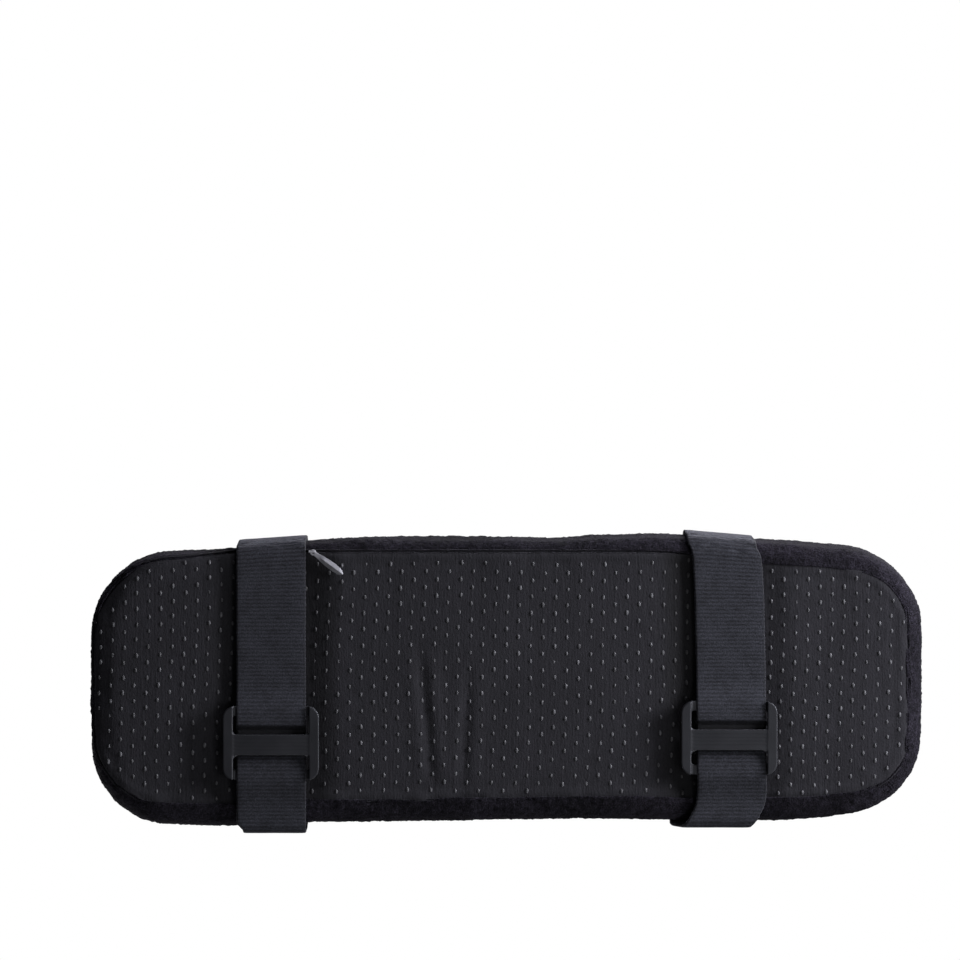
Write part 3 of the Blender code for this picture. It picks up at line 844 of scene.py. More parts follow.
def displaced(obj, points, normal, height):
    """Raise the open cloth by height, and leave its seam allowances."""
    free = np.zeros(len(points), np.float32)
    obj.data.attributes["free"].data.foreach_get("value", free)
    set_points(obj, points + normal * (height * smooth(free, 0.0, 0.55))[:, None])


def seam_tree(seam):
    following = np.roll(seam, -1, 0)
    return tree_of(np.concatenate(
        [seam + (following - seam) * share for share in (0, 0.25, 0.5, 0.75)]))


low_seam_tree, top_seam_tree = seam_tree(low_seam), seam_tree(top_seam)


def seam_distance(points, tree, reach=12.0):
    return np.array([min(reach, tree.find(point)[2]) for point in points])


def pile(points, amount):
    """Height of the velvet's surface: tufts, and clumps of them."""
    return amount * (0.55 * noise(points, 1.1, 3) + 0.45 * noise(points, 2.6, 4))


def mark_shaded(obj):
    """Store how much painted shade the fabric gets beside each loop, 0 to 1: the loops' cast
    shadows and sloping dents, painted into its colour.
    """
    points = points_mm(obj)
    shaded = np.zeros(len(points))
    # Strength of the painted shade on the left and on the right of each loop.
    for side, left, right in (("left", 0.28, 0.46), ("right", 0.66, 0.06)):
        start, end = strap_box[side][0][0], strap_box[side][1][0]
        x = points[:, 0] + 0.5 * noise(points, (3, 9, 9), 41)
        shaded = np.maximum(shaded, left * smooth(x, start - 12.5, start - 5) * (x < start + 10))
        shaded = np.maximum(shaded, right * smooth(x, end + 12.5, end + 5) * (x > end - 10))
    add_attribute(obj, "shaded", shaded)


# Soft creases across the underside: x, depth, y from, y to, bend.
CREASES = ((-24.5, 0.55, -14, 36, 2.2), (-12.0, 0.45, -8, 36, -1.2))


def underside():
    obj = sub_piece("cover_underside", low_faces, [(low_edge, low_seam, UP, True)])
    subdivided(obj, 2)
    points, normal = points_mm(obj), normals(obj)
    from_seam = seam_distance(points, low_seam_tree)
    x, y = points[:, 0], points[:, 1]
    height = 0.16 * noise(points, (26, 18, 26), 1) + 0.07 * noise(points, (9, 7, 9), 2)
    height *= 1 - 0.6 * under_straps(x)
    for crease_x, depth, start, end, bend in CREASES:
        centre = crease_x + bend * np.sin((y - 10) / 22)
        along = smooth(y, start, start + 16) * smooth(y, end + 2, end - 12)
        height += along * depth * (
            -0.85 * bump(x, centre, 1.7) + 0.50 * bump(x, centre + 3.0, 2.3)
            + 0.32 * bump(x, centre - 2.9, 2.3))
    # Puckers run in from the seam; the folded edge stands a little proud.
    height += 0.26 * np.exp(-from_seam / 4.5) * noise(points * [1, 1, 0], (4.2, 4.2, 9), 6)
    height += 0.14 * bump(from_seam, 1.6, 1.1) - 0.06 * bump(from_seam, 3.6, 1.2)
    displaced(obj, points, normal, height)
    mark_shaded(obj)
    surface = points_mm(obj), normals(obj)
    thickened(obj, CLOTH)
    dress(obj, GRIP, "pad", ["bottom_panel"])
    return obj, *surface


def velvet_panel():
    obj = sub_piece("cover_velvet_top", top_faces, [(top_edge, top_seam, DOWN, True)])
    subdivided(obj, 2)
    points, normal = points_mm(obj), normals(obj)
    from_seam = seam_distance(points, top_seam_tree)
    height = (pile(points, 0.16) + 0.18 * noise(points, (30, 22, 30), 7)
              + rng.normal(0, 0.05, len(points)))
    flat = under_straps(points[:, 0])
    height *= 1 - 0.5 * flat
    pucker = noise(points * [1, 1, 0], (4.6, 4.6, 9), 8)
    height += 0.24 * np.exp(-from_seam / 4.0) * pucker * (1 - 0.4 * flat)
    displaced(obj, points, normal, height)
    thickened(obj, CLOTH)
    dress(obj, VELVET_TOP, "pad", ["top_panel"])
    return obj


def velvet_band():
    obj = sub_piece("cover_velvet_band", band_faces,
                    [(lip_ids, low_seam, UP, False), (top_ring_ids, top_seam, DOWN, True)])
    outward(obj)
    subdivided(obj, 2)
    points, normal = points_mm(obj), normals(obj)
    # The band is open above and below, so its normals may come out facing the core.
    if np.sum(normal * (points - [0, 0, 15]), axis=1).mean() < 0:
        obj.data.flip_normals()
        normal = -normal
    from_seam = np.minimum(seam_distance(points, low_seam_tree),
                           seam_distance(points, top_seam_tree))
    flat = under_straps(points[:, 0])
    height = (pile(points, 0.30) * (1 - 0.35 * flat)
              + 0.22 * noise(points, (13, 13, 12), 9) * (1 - 0.7 * flat))
    height += rng.normal(0, 0.10, len(points))
    pucker = noise(points, (4.0, 4.0, 12), 10)
    height += 0.30 * np.exp(-from_seam / 3.2) * pucker * (1 - 0.5 * flat)
    displaced(obj, points, normal, height)
    outer_count = len(obj.data.vertices)
    thickened(obj, CLOTH)
    lightened(obj, outer_count, 0.84)
    dress(obj, VELVET_BAND, "pad", ["side_band"])
    return obj


under, under_points, under_normals = underside()
cover = (under, velvet_panel(), velvet_band())


# ---------------------------------------------------------------- foam core
def shell_of(pieces):
    points, faces = [], []
    for piece in pieces:
        base = len(points)
        points += [tuple(point) for point in points_mm(piece)]
        faces += [tuple(base + i for i in face.vertices) for face in piece.data.polygons]
    return BVHTree.FromPolygons(points, faces)


def foam_core():
    """The same form, smaller, cut back for the zip."""
    foam = mesh_object("foam_block", cage, cage_faces)
    outward(foam)
    points, normal = points_mm(foam), normals(foam)
    points = points - normal * 2.1
    points[:, 2] -= 1.2 * smooth(seam_distance(points, top_seam_tree), 6.0, 3.0)
    x, y, z = points.T
    near_zip = (z < 14) & (y < -30) & (x > -78) & (x < 52)
    points[near_zip, 1] = np.maximum(points[near_zip, 1], -34.6)
    points[:, 2] = np.maximum(points[:, 2], 1.9 + pressed(points[:, 0], points[:, 1])[0])
    points += normal * (0.12 * noise(points, 5.0, 12))[:, None]
    set_points(foam, points)
    subdivided(foam, 1)
    # Drawn in wherever it would still reach past the cloth.
    shell = shell_of(cover)
    for _ in range(8):
        points = points_mm(foam)
        x, y, z = points.T
        core = np.column_stack([np.clip(x, -95, 95), np.clip(y, -16, 16), np.clip(z, 13, 17)])
        outwards = points - core
        outwards /= np.maximum(np.linalg.norm(outwards, axis=1, keepdims=True), 1e-6)
        by_zip = (z < 14) & (y < -30) & (x > -80) & (x < 54)
        past = []
        for i in np.flatnonzero(~by_zip):
            hit = shell.ray_cast(Vector(points[i]), Vector(outwards[i]), 25.0)
            if hit[0] is None or hit[3] < 0.25:
                past.append(i)
        if not past:
            break
        away = seam_distance(points, tree_of(points[past]), reach=math.inf)
        set_points(foam, points - outwards * (0.8 * smooth(away, 7.0, 1.5))[:, None])
    dress(foam, FOAM, "pad", ["foam_core"])


foam_core()

# ---------------------------------------------------------------- silicone dots
COLUMN_STEP = 3.62
ROW_STEP_MIDDLE, ROW_STEP_END = 4.92, 4.62
DOT_HALF_X, DOT_HALF_Y = 0.42, 0.74
DOT_HEIGHT, WORN_HEIGHT = 0.28, 0.18


def dome(segments=10):
    profile = [(1.0, -0.25), (1.0, 0.10), (0.86, 0.55), (0.52, 0.88)]    # radius, height
    turns = [2 * math.pi * k / segments for k in range(segments)]
    points = [(radius * math.cos(turn), radius * math.sin(turn), height)
              for radius, height in profile for turn in turns] + [(0, 0, 1.0)]
    faces = [tuple(range(segments))[::-1]]
    for low in range(0, (len(profile) - 1) * segments, segments):
        high = low + segments
        for k in range(segments):
            after = (k + 1) % segments
            faces.append((low + k, low + after, high + after, high + k))
    last = (len(profile) - 1) * segments
    faces += [(last + k, last + (k + 1) % segments, len(points) - 1) for k in range(segments)]
    return np.array(points), faces


def grip_dots():
    dome_points, dome_faces = dome()
    tree = tree_of(under_points)
    points, faces = [], []
    for column in range(-38, 39):
        column_x = column * COLUMN_STEP
        middle = float(smooth(column_x, -78, -58) * smooth(column_x, 60, 42))
        row_step = ROW_STEP_END + (ROW_STEP_MIDDLE - ROW_STEP_END) * middle
        for row in range(-11, 12):
            row_y = (row + (0.5 if column % 2 else 0.0)) * row_step
            stray_x, stray_y = rng.normal(0, 0.10), rng.normal(0, 0.12)
            size, luck = rng.uniform(0.86, 1.12), rng.random()
            wave = 0.22 * math.sin(row_y * 0.11 + column_x * 0.03)
            x = column_x - 0.027 * row_y + wave + stray_x
            y = row_y + 0.30 * math.sin(column_x * 0.09) + stray_y
            hit, nearest, _ = tree.find(Vector((x, y, 0.3)))
            normal = Vector(under_normals[nearest])
            on_zip = -72 < x < 46 and y < panel_zip(x) + 1.9
            if (math.hypot(hit.x - x, hit.y - y) > 0.8 or normal.z > -0.45 or on_zip
                    or low_seam_tree.find(hit)[2] < (1.6 if x < 66 else 1.0)):
                continue
            if luck < 0.05:
                size *= 0.7
            turn = Vector((0, 0, -1)).rotation_difference(normal).to_matrix()
            height = DOT_HEIGHT if luck > 0.15 else WORN_HEIGHT
            local = dome_points * [DOT_HALF_X * size, DOT_HALF_Y * size, -height * size]
            start = len(points) * len(dome_points)
            points.append(local @ np.array(turn).T + np.array([x, y, hit.z]))
            faces.extend([tuple(start + i for i in face) for face in dome_faces])
    dots = mesh_object("grip_dots", np.concatenate(points), faces)
    outward(dots)
    mark_shaded(dots)
    dress(dots, SILICONE, "pad")


grip_dots()

# ---------------------------------------------------------------- elastic loops
LOOP_THICK, WEB_THICK = 1.0, 0.80
LOOP_STEP = 0.25
ZIP_LOW_RADIUS, LOOP_TOP_RADIUS = 5.0, 8.6
RIBBON_COLUMNS = 26
# y of the zip-side and far legs, radius of the low far corner, skew of the zip leg.
LOOPS = {"left": (-40.2, 47.0, 2.4, -0.07), "right": (-41.7, 45.3, 2.6, 0.085)}

# Sideways shift of the right loop: (y, x) underneath and on top, (z, x) up the legs.
RIGHT_UNDER = ((-44, -2.3), (-41.5, -1.7), (-35.5, -0.6), (-23.5, 0.0), (0, 0.5), (34, 0.9),
               (38, 0.6), (40.6, -0.5), (43, -1.8), (45, -2.9))
RIGHT_TOP = ((-44, -3.1), (44, -5.0))
RIGHT_ZIP_LEG = ((-1, -2.3), (7, -2.5), (20, -2.9), (30, -3.1))
RIGHT_FAR_LEG = ((-1, -3.0), (0, -3.4), (1.5, -3.9), (5, -6.6), (9, -7.3), (20, -7.0),
                 (29, -5.0))


def path_normals(direction):
    direction /= np.linalg.norm(direction, axis=1, keepdims=True)
    return np.column_stack([direction[:, 1], -direction[:, 0]])


def loop_path(zip_y, far_y, low_z, high_z, far_radius):
    """Evenly spaced (y, z) round the loop, outward normals, and length along, scaled so
    that the ribs close up. From mid top it goes down the zip side and up the far side."""
    def arc(y, z, radius, start, end):
        count = max(6, int(abs(end - start) * math.pi / 180 * radius / 0.1))
        turns = [math.radians(start + (end - start) * k / count) for k in range(count + 1)]
        return [(y + radius * math.cos(turn), z + radius * math.sin(turn)) for turn in turns]

    top, low = LOOP_TOP_RADIUS, ZIP_LOW_RADIUS
    corners = np.array(
        [(0.0, high_z)]
        + arc(zip_y + top, high_z - top, top, 90, 180)
        + arc(zip_y + low, low_z + low, low, 180, 270)
        + arc(far_y - far_radius, low_z + far_radius, far_radius, 270, 360)
        + arc(far_y - top, high_z - top, top, 0, 90)
        + [(0.0, high_z)])
    lengths = np.concatenate([[0], np.cumsum(np.linalg.norm(np.diff(corners, axis=0), axis=1))])
    total = lengths[-1]
    count = int(round(total / LOOP_STEP))
    along = np.arange(count) * total / count
    path = np.column_stack([np.interp(along, lengths, corners[:, k]) for k in (0, 1)])
    normal = path_normals(np.roll(path, -2, 0) - np.roll(path, 2, 0))
    return path, normal, along * (round(total / RIB_PITCH) * RIB_PITCH / total)


def rib_height(along, across, half_width):
    """Raised cross ribs, fading out on the two selvedges."""
    body = smooth(np.abs(across), half_width - 0.6, half_width - 2.2)
    wave = np.cos(2 * np.pi * along / RIB_PITCH)
    strip = np.column_stack([along, across, 0 * along])
    uneven = 1 + 0.35 * noise(strip, (7, 3.0, 5), 21)
    edge = np.cos(2 * np.pi * along / (RIB_PITCH * 0.8)) * 0.025
    patchy = 0.55 + 0.45 * noise(strip, (2.2, 4.0, 5), 22)
    return body * wave * 0.050 * uneven * patchy + (1 - body) * edge


def ribbon(name, path, normal, along, shift, width, thick, closed,
           taper=1.0, crumple=0.0, slot_shade=0.0):
    """A woven strip along a path in Y and Z. shift is its x, taper scales its thickness,
    crumple creases it and the last one marks where painted shade darkens it deep in the buckle's
    slot, all per path point."""
    count, half = len(path), width / 2
    even = np.linspace(-1, 1, RIBBON_COLUMNS + 1)
    # Columns are finer at the edges.
    across = np.sign(even) * (1 - (1 - np.abs(even)) ** 1.35) * (half - thick * 0.28)
    wobble = 0.10 * noise(np.column_stack([along, 0 * along, 0 * along]), (9, 1, 1), 30)
    rib_wave = np.cos(2 * np.pi * along / RIB_PITCH)
    columns = []

    def add_column(place, edge_wave, lift):
        x = place + np.sign(place) * edge_wave + wobble
        columns.append(np.column_stack(
            [x + shift, path[:, 0] + normal[:, 0] * lift, path[:, 1] + normal[:, 1] * lift]))

    for face in (1, -1):
        for place in across[::face]:
            thinner = 1.0 - 0.30 * abs(place / half) ** 12      # at the selvedge
            ribs = rib_height(along, np.full(count, place), half) * taper
            strip = np.column_stack([along + 0.35 * place, place - 0.2 * along, 0 * along])
            cup = -0.06 * (1 - (place / half) ** 2) + crumple * (
                0.22 * noise(strip, (0.9, 2.6, 5), 31) + 0.15 * noise(strip, (0.6, 1.0, 5), 32))
            add_column(place, 0.05 * rib_wave * (abs(place) > half - thick),
                       face * (thick / 2 * thinner * taper + ribs) + cup)
        # Rounded edge between the two faces.
        add_column(face * half, 0.06 * rib_wave, 0.0)
    points = np.stack(columns, 1)
    around = points.shape[1]
    faces = []
    for k in range(count if closed else count - 1):
        row, after = k * around, (k + 1) % count * around
        for i in range(around):
            j = (i + 1) % around
            faces.append((row + i, row + j, after + j, after + i))
    if not closed:
        faces.append(tuple(range(around)))
        faces.append(tuple(range((count - 1) * around, count * around))[::-1])
    obj = mesh_object(name, points.reshape(-1, 3), faces)
    outward(obj)
    add_attribute(obj, "along", np.repeat(along, around))
    add_attribute(obj, "across",
                  np.tile(np.concatenate([across, [half], across[::-1], [-half]]), count))
    # Painted shade: 0 where the webbing lies deep in the buckle's slot, 1 elsewhere.
    add_attribute(obj, "slot_unshaded", np.repeat(np.ones(count) - slot_shade, around))
    return obj


def loop_shift(side, y, z):
    """How far each part of the loop has slipped along the pad."""
    if side == "left":
        shift = np.where(z > 29, 0.5 * smooth(y, -40, 40), 0.0) * smooth(y, 47, 40)
    else:
        legs = np.where(y < 0, through(RIGHT_ZIP_LEG, z), through(RIGHT_FAR_LEG, z))
        shift = np.where(z < -0.4, through(RIGHT_UNDER, y),
                         np.where(z > 30.0, through(RIGHT_TOP, y), legs))
    return blurred(shift, 16, 3.5, mode="wrap")


def elastic_loop(side):
    low, high = strap_box[side]
    low_z = mm_box(f"strap_{side}_under")[0][2]
    centre, width = (low[0] + high[0]) / 2, high[0] - low[0]
    zip_y, far_y, far_radius, skew = LOOPS[side]
    path, normal, along = loop_path(
        zip_y, far_y, low_z + LOOP_THICK / 2, high[2] - LOOP_THICK / 2, far_radius)
    y, z = path.T
    shift = loop_shift(side, y, z)
    loop = ribbon(f"elastic_loop_{side}", path, normal, along, shift + centre, width,
                  LOOP_THICK, closed=True, crumple=smooth(y, -36, -39) * smooth(z, 20, 8))
    points = points_mm(loop)
    rows = np.repeat(np.arange(len(path)), len(points) // len(path))
    skewed = skew * smooth(y, -20, -42)
    points[:, 1] += skewed[rows] * (points[:, 0] - centre - shift[rows])
    if side == "left":
        # Its -X corner is folded in where the loop turns up the far side.
        at_turn = smooth(y, far_y - 3.0, far_y - 0.2) * smooth(z, 28.0, 12.0)
        points[:, 0] += 1.9 * at_turn[rows] * smooth(points[:, 0] - centre, -6.5, -10.5)
    set_points(loop, points)
    dress(loop, ELASTIC)
    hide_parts(*[f"strap_{side}_{part}"
                        for part in ("over", "leg_zip_side", "leg_far_side", "under")])
    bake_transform(loop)
    return SimpleNamespace(centre=centre, width=width, y=y, z=z, along=along, shift=shift,
                           low_z=low_z)


loops = {side: elastic_loop(side) for side in SIDES}


# ---------------------------------------------------------------- moulded solids
def prism(outline, near, deep):
    """Outline in X and Y, solid between two depths below z = 0."""
    count = len(outline)
    points = [(x, y, -near) for x, y in outline] + [(x, y, -deep) for x, y in outline]
    faces = [tuple(range(count)), tuple(range(count, 2 * count))[::-1]]
    faces += [(k, k + count, (k + 1) % count + count, (k + 1) % count) for k in range(count)]
    return points, faces


def rounded(half_x, half_y, radius, steps=8):
    """Rounded rectangle about the origin."""
    x, y = half_x - radius, half_y - radius
    outline = []
    for corner_x, corner_y, start in ((x, -y, -90), (x, y, 0), (-x, y, 90), (-x, -y, 180)):
        for k in range(steps + 1):
            turn = math.radians(start + 90 * k / steps)
            outline.append((corner_x + radius * math.cos(turn),
                            corner_y + radius * math.sin(turn)))
    return outline


def frame_prism(outer, inner, near, deep):
    """Solid between two outlines of as many points."""
    count = len(outer)
    points = [(x, y, -depth) for depth in (near, deep) for line in (outer, inner)
              for x, y in line]
    faces = []
    for k in range(count):
        after = (k + 1) % count
        for first, second, third, fourth in (
                ((0, k), (0, after), (1, after), (1, k)),
                ((2, k), (3, k), (3, after), (2, after)),
                ((0, k), (2, k), (2, after), (0, after)),
                ((1, k), (1, after), (3, after), (3, k))):
            faces.append(tuple(line * count + i for line, i in (first, second, third, fourth)))
    return points, faces


def box_solid(x_range, y_range, z_range):
    points = [(x, y, z) for z in z_range for y in y_range for x in x_range]
    return points, [(0, 1, 3, 2), (4, 6, 7, 5), (0, 4, 5, 1), (2, 3, 7, 6), (0, 2, 6, 4),
                    (1, 5, 7, 3)]


def moulded(name, solids, voxel, rounds):
    """Overlapping solids fused into one body, with its edges and inner corners softened."""
    points, faces = [], []
    for solid_points, solid_faces in solids:
        base = len(points)
        points += solid_points
        faces += [tuple(base + i for i in face) for face in solid_faces]
    obj = outward(mesh_object(name, np.array(points), faces))
    add_modifier(obj, "fuse", "REMESH", mode="VOXEL", voxel_size=voxel * MM,
                 use_smooth_shade=True)
    add_modifier(obj, "soften", "SMOOTH", factor=0.5, iterations=rounds)
    applied(obj)
    obj.data.polygons.foreach_set("use_smooth", [True] * len(obj.data.polygons))
    return outward(obj)


# ---------------------------------------------------------------- buckles
BUCKLE_CORNER = 3.5
OPENING_HALF_X, OPENING_CORNER = 11.6, 1.1
CROSSBAR_WIDTH = 2.9
PLATE_THICK = 0.95
RAIL_X = 11.5                      # flat face of the side rails
BAR_Y, BAR_HALF = 0.5, 3.1         # the centre bar sits a little towards the far side
BAR_NEAR, TIP_NEAR = 2.9, 2.95     # depths where bar and tips begin
BAR_RIB_PITCH = 1.12
# Small tips beside the centre bar: side of the bar, and reach.
TIPS = ((-1, 0.55), (1, 1.0))
WEB_OVER, WEB_UNDER = 3.25, 1.95   # depth of the webbing over a crossbar, under the bar


def buckle_solids(length, height, near, deep):
    outer = rounded(length / 2, height / 2, BUCKLE_CORNER)
    inner = rounded(OPENING_HALF_X, height / 2 - CROSSBAR_WIDTH, OPENING_CORNER)
    solids = [frame_prism(outer, inner, near, near + PLATE_THICK)]
    for sign in (-1, 1):
        # A D-shaped rail, square towards the webbing.
        end = sorted(((x, y) for x, y in outer if sign * x > RAIL_X),
                     key=lambda point: math.atan2(point[1], sign * point[0]))
        rail_x = sign * RAIL_X
        solids.append(prism([(rail_x, -height / 2)] + end + [(rail_x, height / 2)], near, deep))
        for side, reach in TIPS:
            tip = [(sign * 11.8, BAR_Y + side * 2.4),
                   (sign * 11.8, BAR_Y + side * (3.1 + 1.6 * reach)),
                   (sign * (RAIL_X - 0.5 * reach), BAR_Y + side * (3.1 + 0.7 * reach)),
                   (sign * (RAIL_X - 1.3 * reach), BAR_Y + side * (3.1 + 0.2 * reach)),
                   (sign * (RAIL_X - 2.2 * reach), BAR_Y + side * 2.4)]
            solids.append(prism(tip, TIP_NEAR, deep - 0.25))
    low, high = BAR_Y - BAR_HALF, BAR_Y + BAR_HALF
    solids.append(prism([(-12.2, low), (12.2, low), (12.2, high), (-12.2, high)],
                        BAR_NEAR, deep - 0.05))
    return solids


def tri_glide(side):
    """Builds the buckle and gives its centre's y."""
    low, high = mm_box(f"buckle_{side}")
    near, deep = -high[2], -low[2]
    centre_x, centre_y = (low[0] + high[0]) / 2, (low[1] + high[1]) / 2
    solids = buckle_solids(high[0] - low[0], high[1] - low[1], near, deep)
    buckle = moulded(f"tri_glide_{side}", solids, voxel=0.17, rounds=5)
    points = points_mm(buckle)
    # Fine ribs along the centre bar.
    across_bar = points[:, 1] - BAR_Y
    on_bar = (smooth(np.abs(points[:, 0]), 11.6, 10.6) * smooth(np.abs(across_bar), 2.9, 2.2)
              * (points[:, 2] < -deep + 0.8))
    groove = 0.5 - 0.5 * np.cos(2 * np.pi * across_bar / BAR_RIB_PITCH)
    points[:, 2] += on_bar * 0.05 * groove
    # The buckle's face bows back a little towards its two rails.
    points[:, 2] += 0.12 * smooth(np.abs(points[:, 0]), 2, 14) * (points[:, 2] < -3.4)
    points += [centre_x, centre_y, 0]
    set_points(buckle, points)
    dress(buckle, PLASTIC, f"buckle_{side}", [f"buckle_{side}"])
    return centre_y


def threaded_webbing(side, centre_y):
    """Webbing through the buckle: over a crossbar, under the bar, over the other."""
    loop = loops[side]
    reach = np.arange(-17.5, 19.5001, 0.25)          # y from the buckle's centre
    flush = -loop.low_z - 0.405

    def rise(places, start, end):
        return [(place, flush + (WEB_OVER - flush) * float(smooth(place, start, end)))
                for place in places]

    # y from the buckle's centre, and depth.
    stations = rise(np.arange(-17.5, -8.2, 0.6), -17.3, -8.4) + [
        (-7.9, WEB_OVER), (-5.7, WEB_OVER + 0.1), (-5.1, WEB_OVER - 0.2),
        (-4.5, WEB_UNDER + 0.1), (-4.0, WEB_UNDER), (3.3, WEB_UNDER), (4.3, WEB_UNDER + 0.2),
        (6.3, WEB_UNDER + 0.8), (8.5, WEB_OVER - 0.1), (10.0, WEB_OVER),
    ] + rise(np.arange(10.3, 19.6, 0.6), 19.3, 10.4)
    depth = blurred(through(stations, reach), 30, 1.7)
    path = np.column_stack([centre_y + reach, -depth])
    normal = path_normals(np.gradient(path, axis=0))
    run = loop.z < loop.low_z + 1.0
    order = np.argsort(loop.y[run])
    # The ribs line up with those of the loop that it grows out of.
    along, shift = [np.interp(path[:, 0], loop.y[run][order], values[run][order])
                    for values in (loop.along, loop.shift)]
    ends = np.minimum(smooth(reach, -17.6, -17.2), smooth(reach, 19.6, 19.2))
    # Painted shade darkens the webbing where it lies deep in the slot under the centre bar.
    web = ribbon(f"threaded_webbing_{side}", path, normal, along, shift + loop.centre,
                 loop.width - 0.04, WEB_THICK, closed=False, taper=0.6 + 0.4 * ends,
                 slot_shade=smooth(reach, -5.6, -4.9) * smooth(reach, 4.4, 3.7))
    dress(web, ELASTIC, f"buckle_{side}", [f"strap_{side}_threaded"])


for side in SIDES:
    threaded_webbing(side, tri_glide(side))

# ---------------------------------------------------------------- zip slider and pull
hinge = joints["zip_pull_swing"]
hinge_x, hinge_y, hinge_z = [value / MM for value in hinge["pos_m"]]
PULL_NEAR, PULL_DEEP = 0.65, 1.35  # depths between which the pull is cut
EYE_X = 0.36                       # centre of the pull's eye, from the hinge

# Lower block of the slider, in plan.
SLIDER_BLOCK = [(-4.0, -0.8), (-3.0, -1.15), (1.0, -1.15), (4.0, -0.9), (4.0, 1.4), (1.0, 1.9),
                (-3.0, 1.9), (-4.0, 1.2)]
# One edge of the pull beyond its eye: distance from the hinge, y.
PULL_EDGE = [(0.95, -0.60), (1.6, -0.66), (2.6, -0.80), (4.2, -1.00), (5.6, -1.13),
             (7.0, -1.20), (8.4, -1.18), (9.8, -1.03), (10.8, -0.75), (11.5, -0.34)]
# Half width over which the pull's ridge falls away: distance from the hinge, half width.
RIDGE_WIDTH = [(-0.25, 0.9), (0.8, 1.02), (1.45, 0.72), (2.1, 0.62), (3.0, 0.66), (4.2, 0.80),
               (5.6, 0.96), (7.0, 1.05), (8.4, 1.05), (9.8, 0.94), (10.8, 0.70), (11.5, 0.34)]


def zip_slider():
    slider = moulded("zip_slider_body", [
        box_solid((-1.1, 1.1), (-0.28, 0.28), (-0.35, 4.5)),          # post
        box_solid((-1.1, -0.68), (-0.26, 0.26), (-2.0, 0.3)),         # legs of the bridge
        box_solid((0.68, 1.1), (-0.26, 0.26), (-2.0, 0.3)),
        box_solid((-1.0, 1.0), (-0.26, 0.26), (-2.25, -1.78)),        # bridge
        prism(SLIDER_BLOCK, -5.25, -4.35),
    ], voxel=0.10, rounds=3)
    set_points(slider, points_mm(slider) + [hinge_x, hinge_y, 0])
    dress(slider, ZINC, "zip_slider", ["zip_slider"])


def oval(half_x, half_y, count=28):
    turns = [2 * math.pi * k / count for k in range(count)]
    return [(EYE_X + half_x * math.cos(turn), half_y * math.sin(turn)) for turn in turns]


def zip_pull():
    outline = PULL_EDGE + [(x, -y) for x, y in PULL_EDGE[::-1]]
    pull = moulded("zip_pull_leaf", [
        prism(outline, PULL_NEAR, PULL_DEEP),
        frame_prism(oval(0.92, 0.90), oval(0.48, 0.46), PULL_NEAR, PULL_DEEP),
    ], voxel=0.10, rounds=4)
    x, y, z = points_mm(pull).T
    # The leaf has a soft ridge down its length, and is a little dished along it.
    width = through(RIDGE_WIDTH, x)
    ridge = np.clip(1 - np.abs(y) / np.maximum(width, 0.2), 0, 1) * smooth(x, 2.6, 5.0)
    middle = -(PULL_NEAR + PULL_DEEP) / 2
    z = np.where(z < middle, z - 0.42 * ridge, z + 0.10 * ridge)
    z = z - 0.25 * smooth(x, 4, 13)
    # Turned to lie square to the hinge, pointing to +X.
    axis = Vector(hinge["axis"])
    direction = Vector((axis.y, -axis.x, 0)).normalized()
    if direction.x < 0:
        direction = -direction
    yaw = math.atan2(direction.y, direction.x)
    cosine, sine = math.cos(yaw), math.sin(yaw)
    set_points(pull, np.column_stack([
        hinge_x + x * cosine - y * sine, hinge_y + x * sine + y * cosine, z - middle + hinge_z]))
    dress(pull, ZINC, "zip_pull", ["zip_pull"])


zip_slider()
zip_pull()

# ---------------------------------------------------------------- rest of the zip
# Section of the band-side tape: inset from the outline or None, fixed y or None, z.
TAPE_SECTION = [(None, -38.75, 4.28), (None, -39.25, 4.34), (2.0, None, 4.9), (1.75, None, 6.0),
                (1.7, None, 8.2), (1.7, None, 10.2)]


def band_side_tape():
    """The tape runs up inside the velvet, and follows its curve."""
    low, high = mm_box("zip_tape_band_side")
    x = np.linspace(low[0], high[0], 96)
    rows = []
    for inset, fixed_y, z in TAPE_SECTION:
        if inset is None:
            y = np.full(len(x), fixed_y)
        else:
            y = np.minimum(SIDE_ZIP(x) + inset, -38.3)
        rows.append(np.column_stack([x, y + 0.04 * np.sin(x * 2.1), np.full(len(x), z)]))
    points = np.stack(rows, 1)
    count, across = points.shape[:2]
    strip = mesh_object("zip_tape_strip", points.reshape(-1, 3), [
        (i * across + j, i * across + j + 1, (i + 1) * across + j + 1, (i + 1) * across + j)
        for i in range(count - 1) for j in range(across - 1)])
    subdivided(strip, 1)
    thickened(strip, 0.3)
    dress(strip, TAPE, "pad", ["zip_tape_band_side"])


band_side_tape()

# The coil and the stop on that side, drawn in so that they stay behind the velvet:
# node, name, y that is drawn towards, share of the width kept, material, slot.
for node, name, centre_y, keep, material, slot in (
    ("zip_teeth_band_side", "zip_coil_band_side", -38.62, 0.5, NYLON, "zip_teeth"),
    ("zip_top_stop", "zip_stop_closed_end", -38.0, 0.66, ZINC, "zip_metal"),
):
    obj = bpy.data.objects.new(name, frame["nodes"][node].data.copy())
    scene.collection.objects.link(obj)
    points = points_mm(obj)
    points[:, 1] = centre_y + (points[:, 1] - centre_y) * keep
    set_points(obj, points)
    dress(obj, material, "pad", [node])

# CAD pieces that stay, with finished materials.
for node, material, slot in (
    ("zip_tape_panel_side", TAPE, "zip_tape"), ("zip_teeth_panel_side", NYLON, "zip_teeth"),
    ("zip_bottom_stop", ZINC, "zip_metal"),
):
    dress(frame["nodes"][node], material)


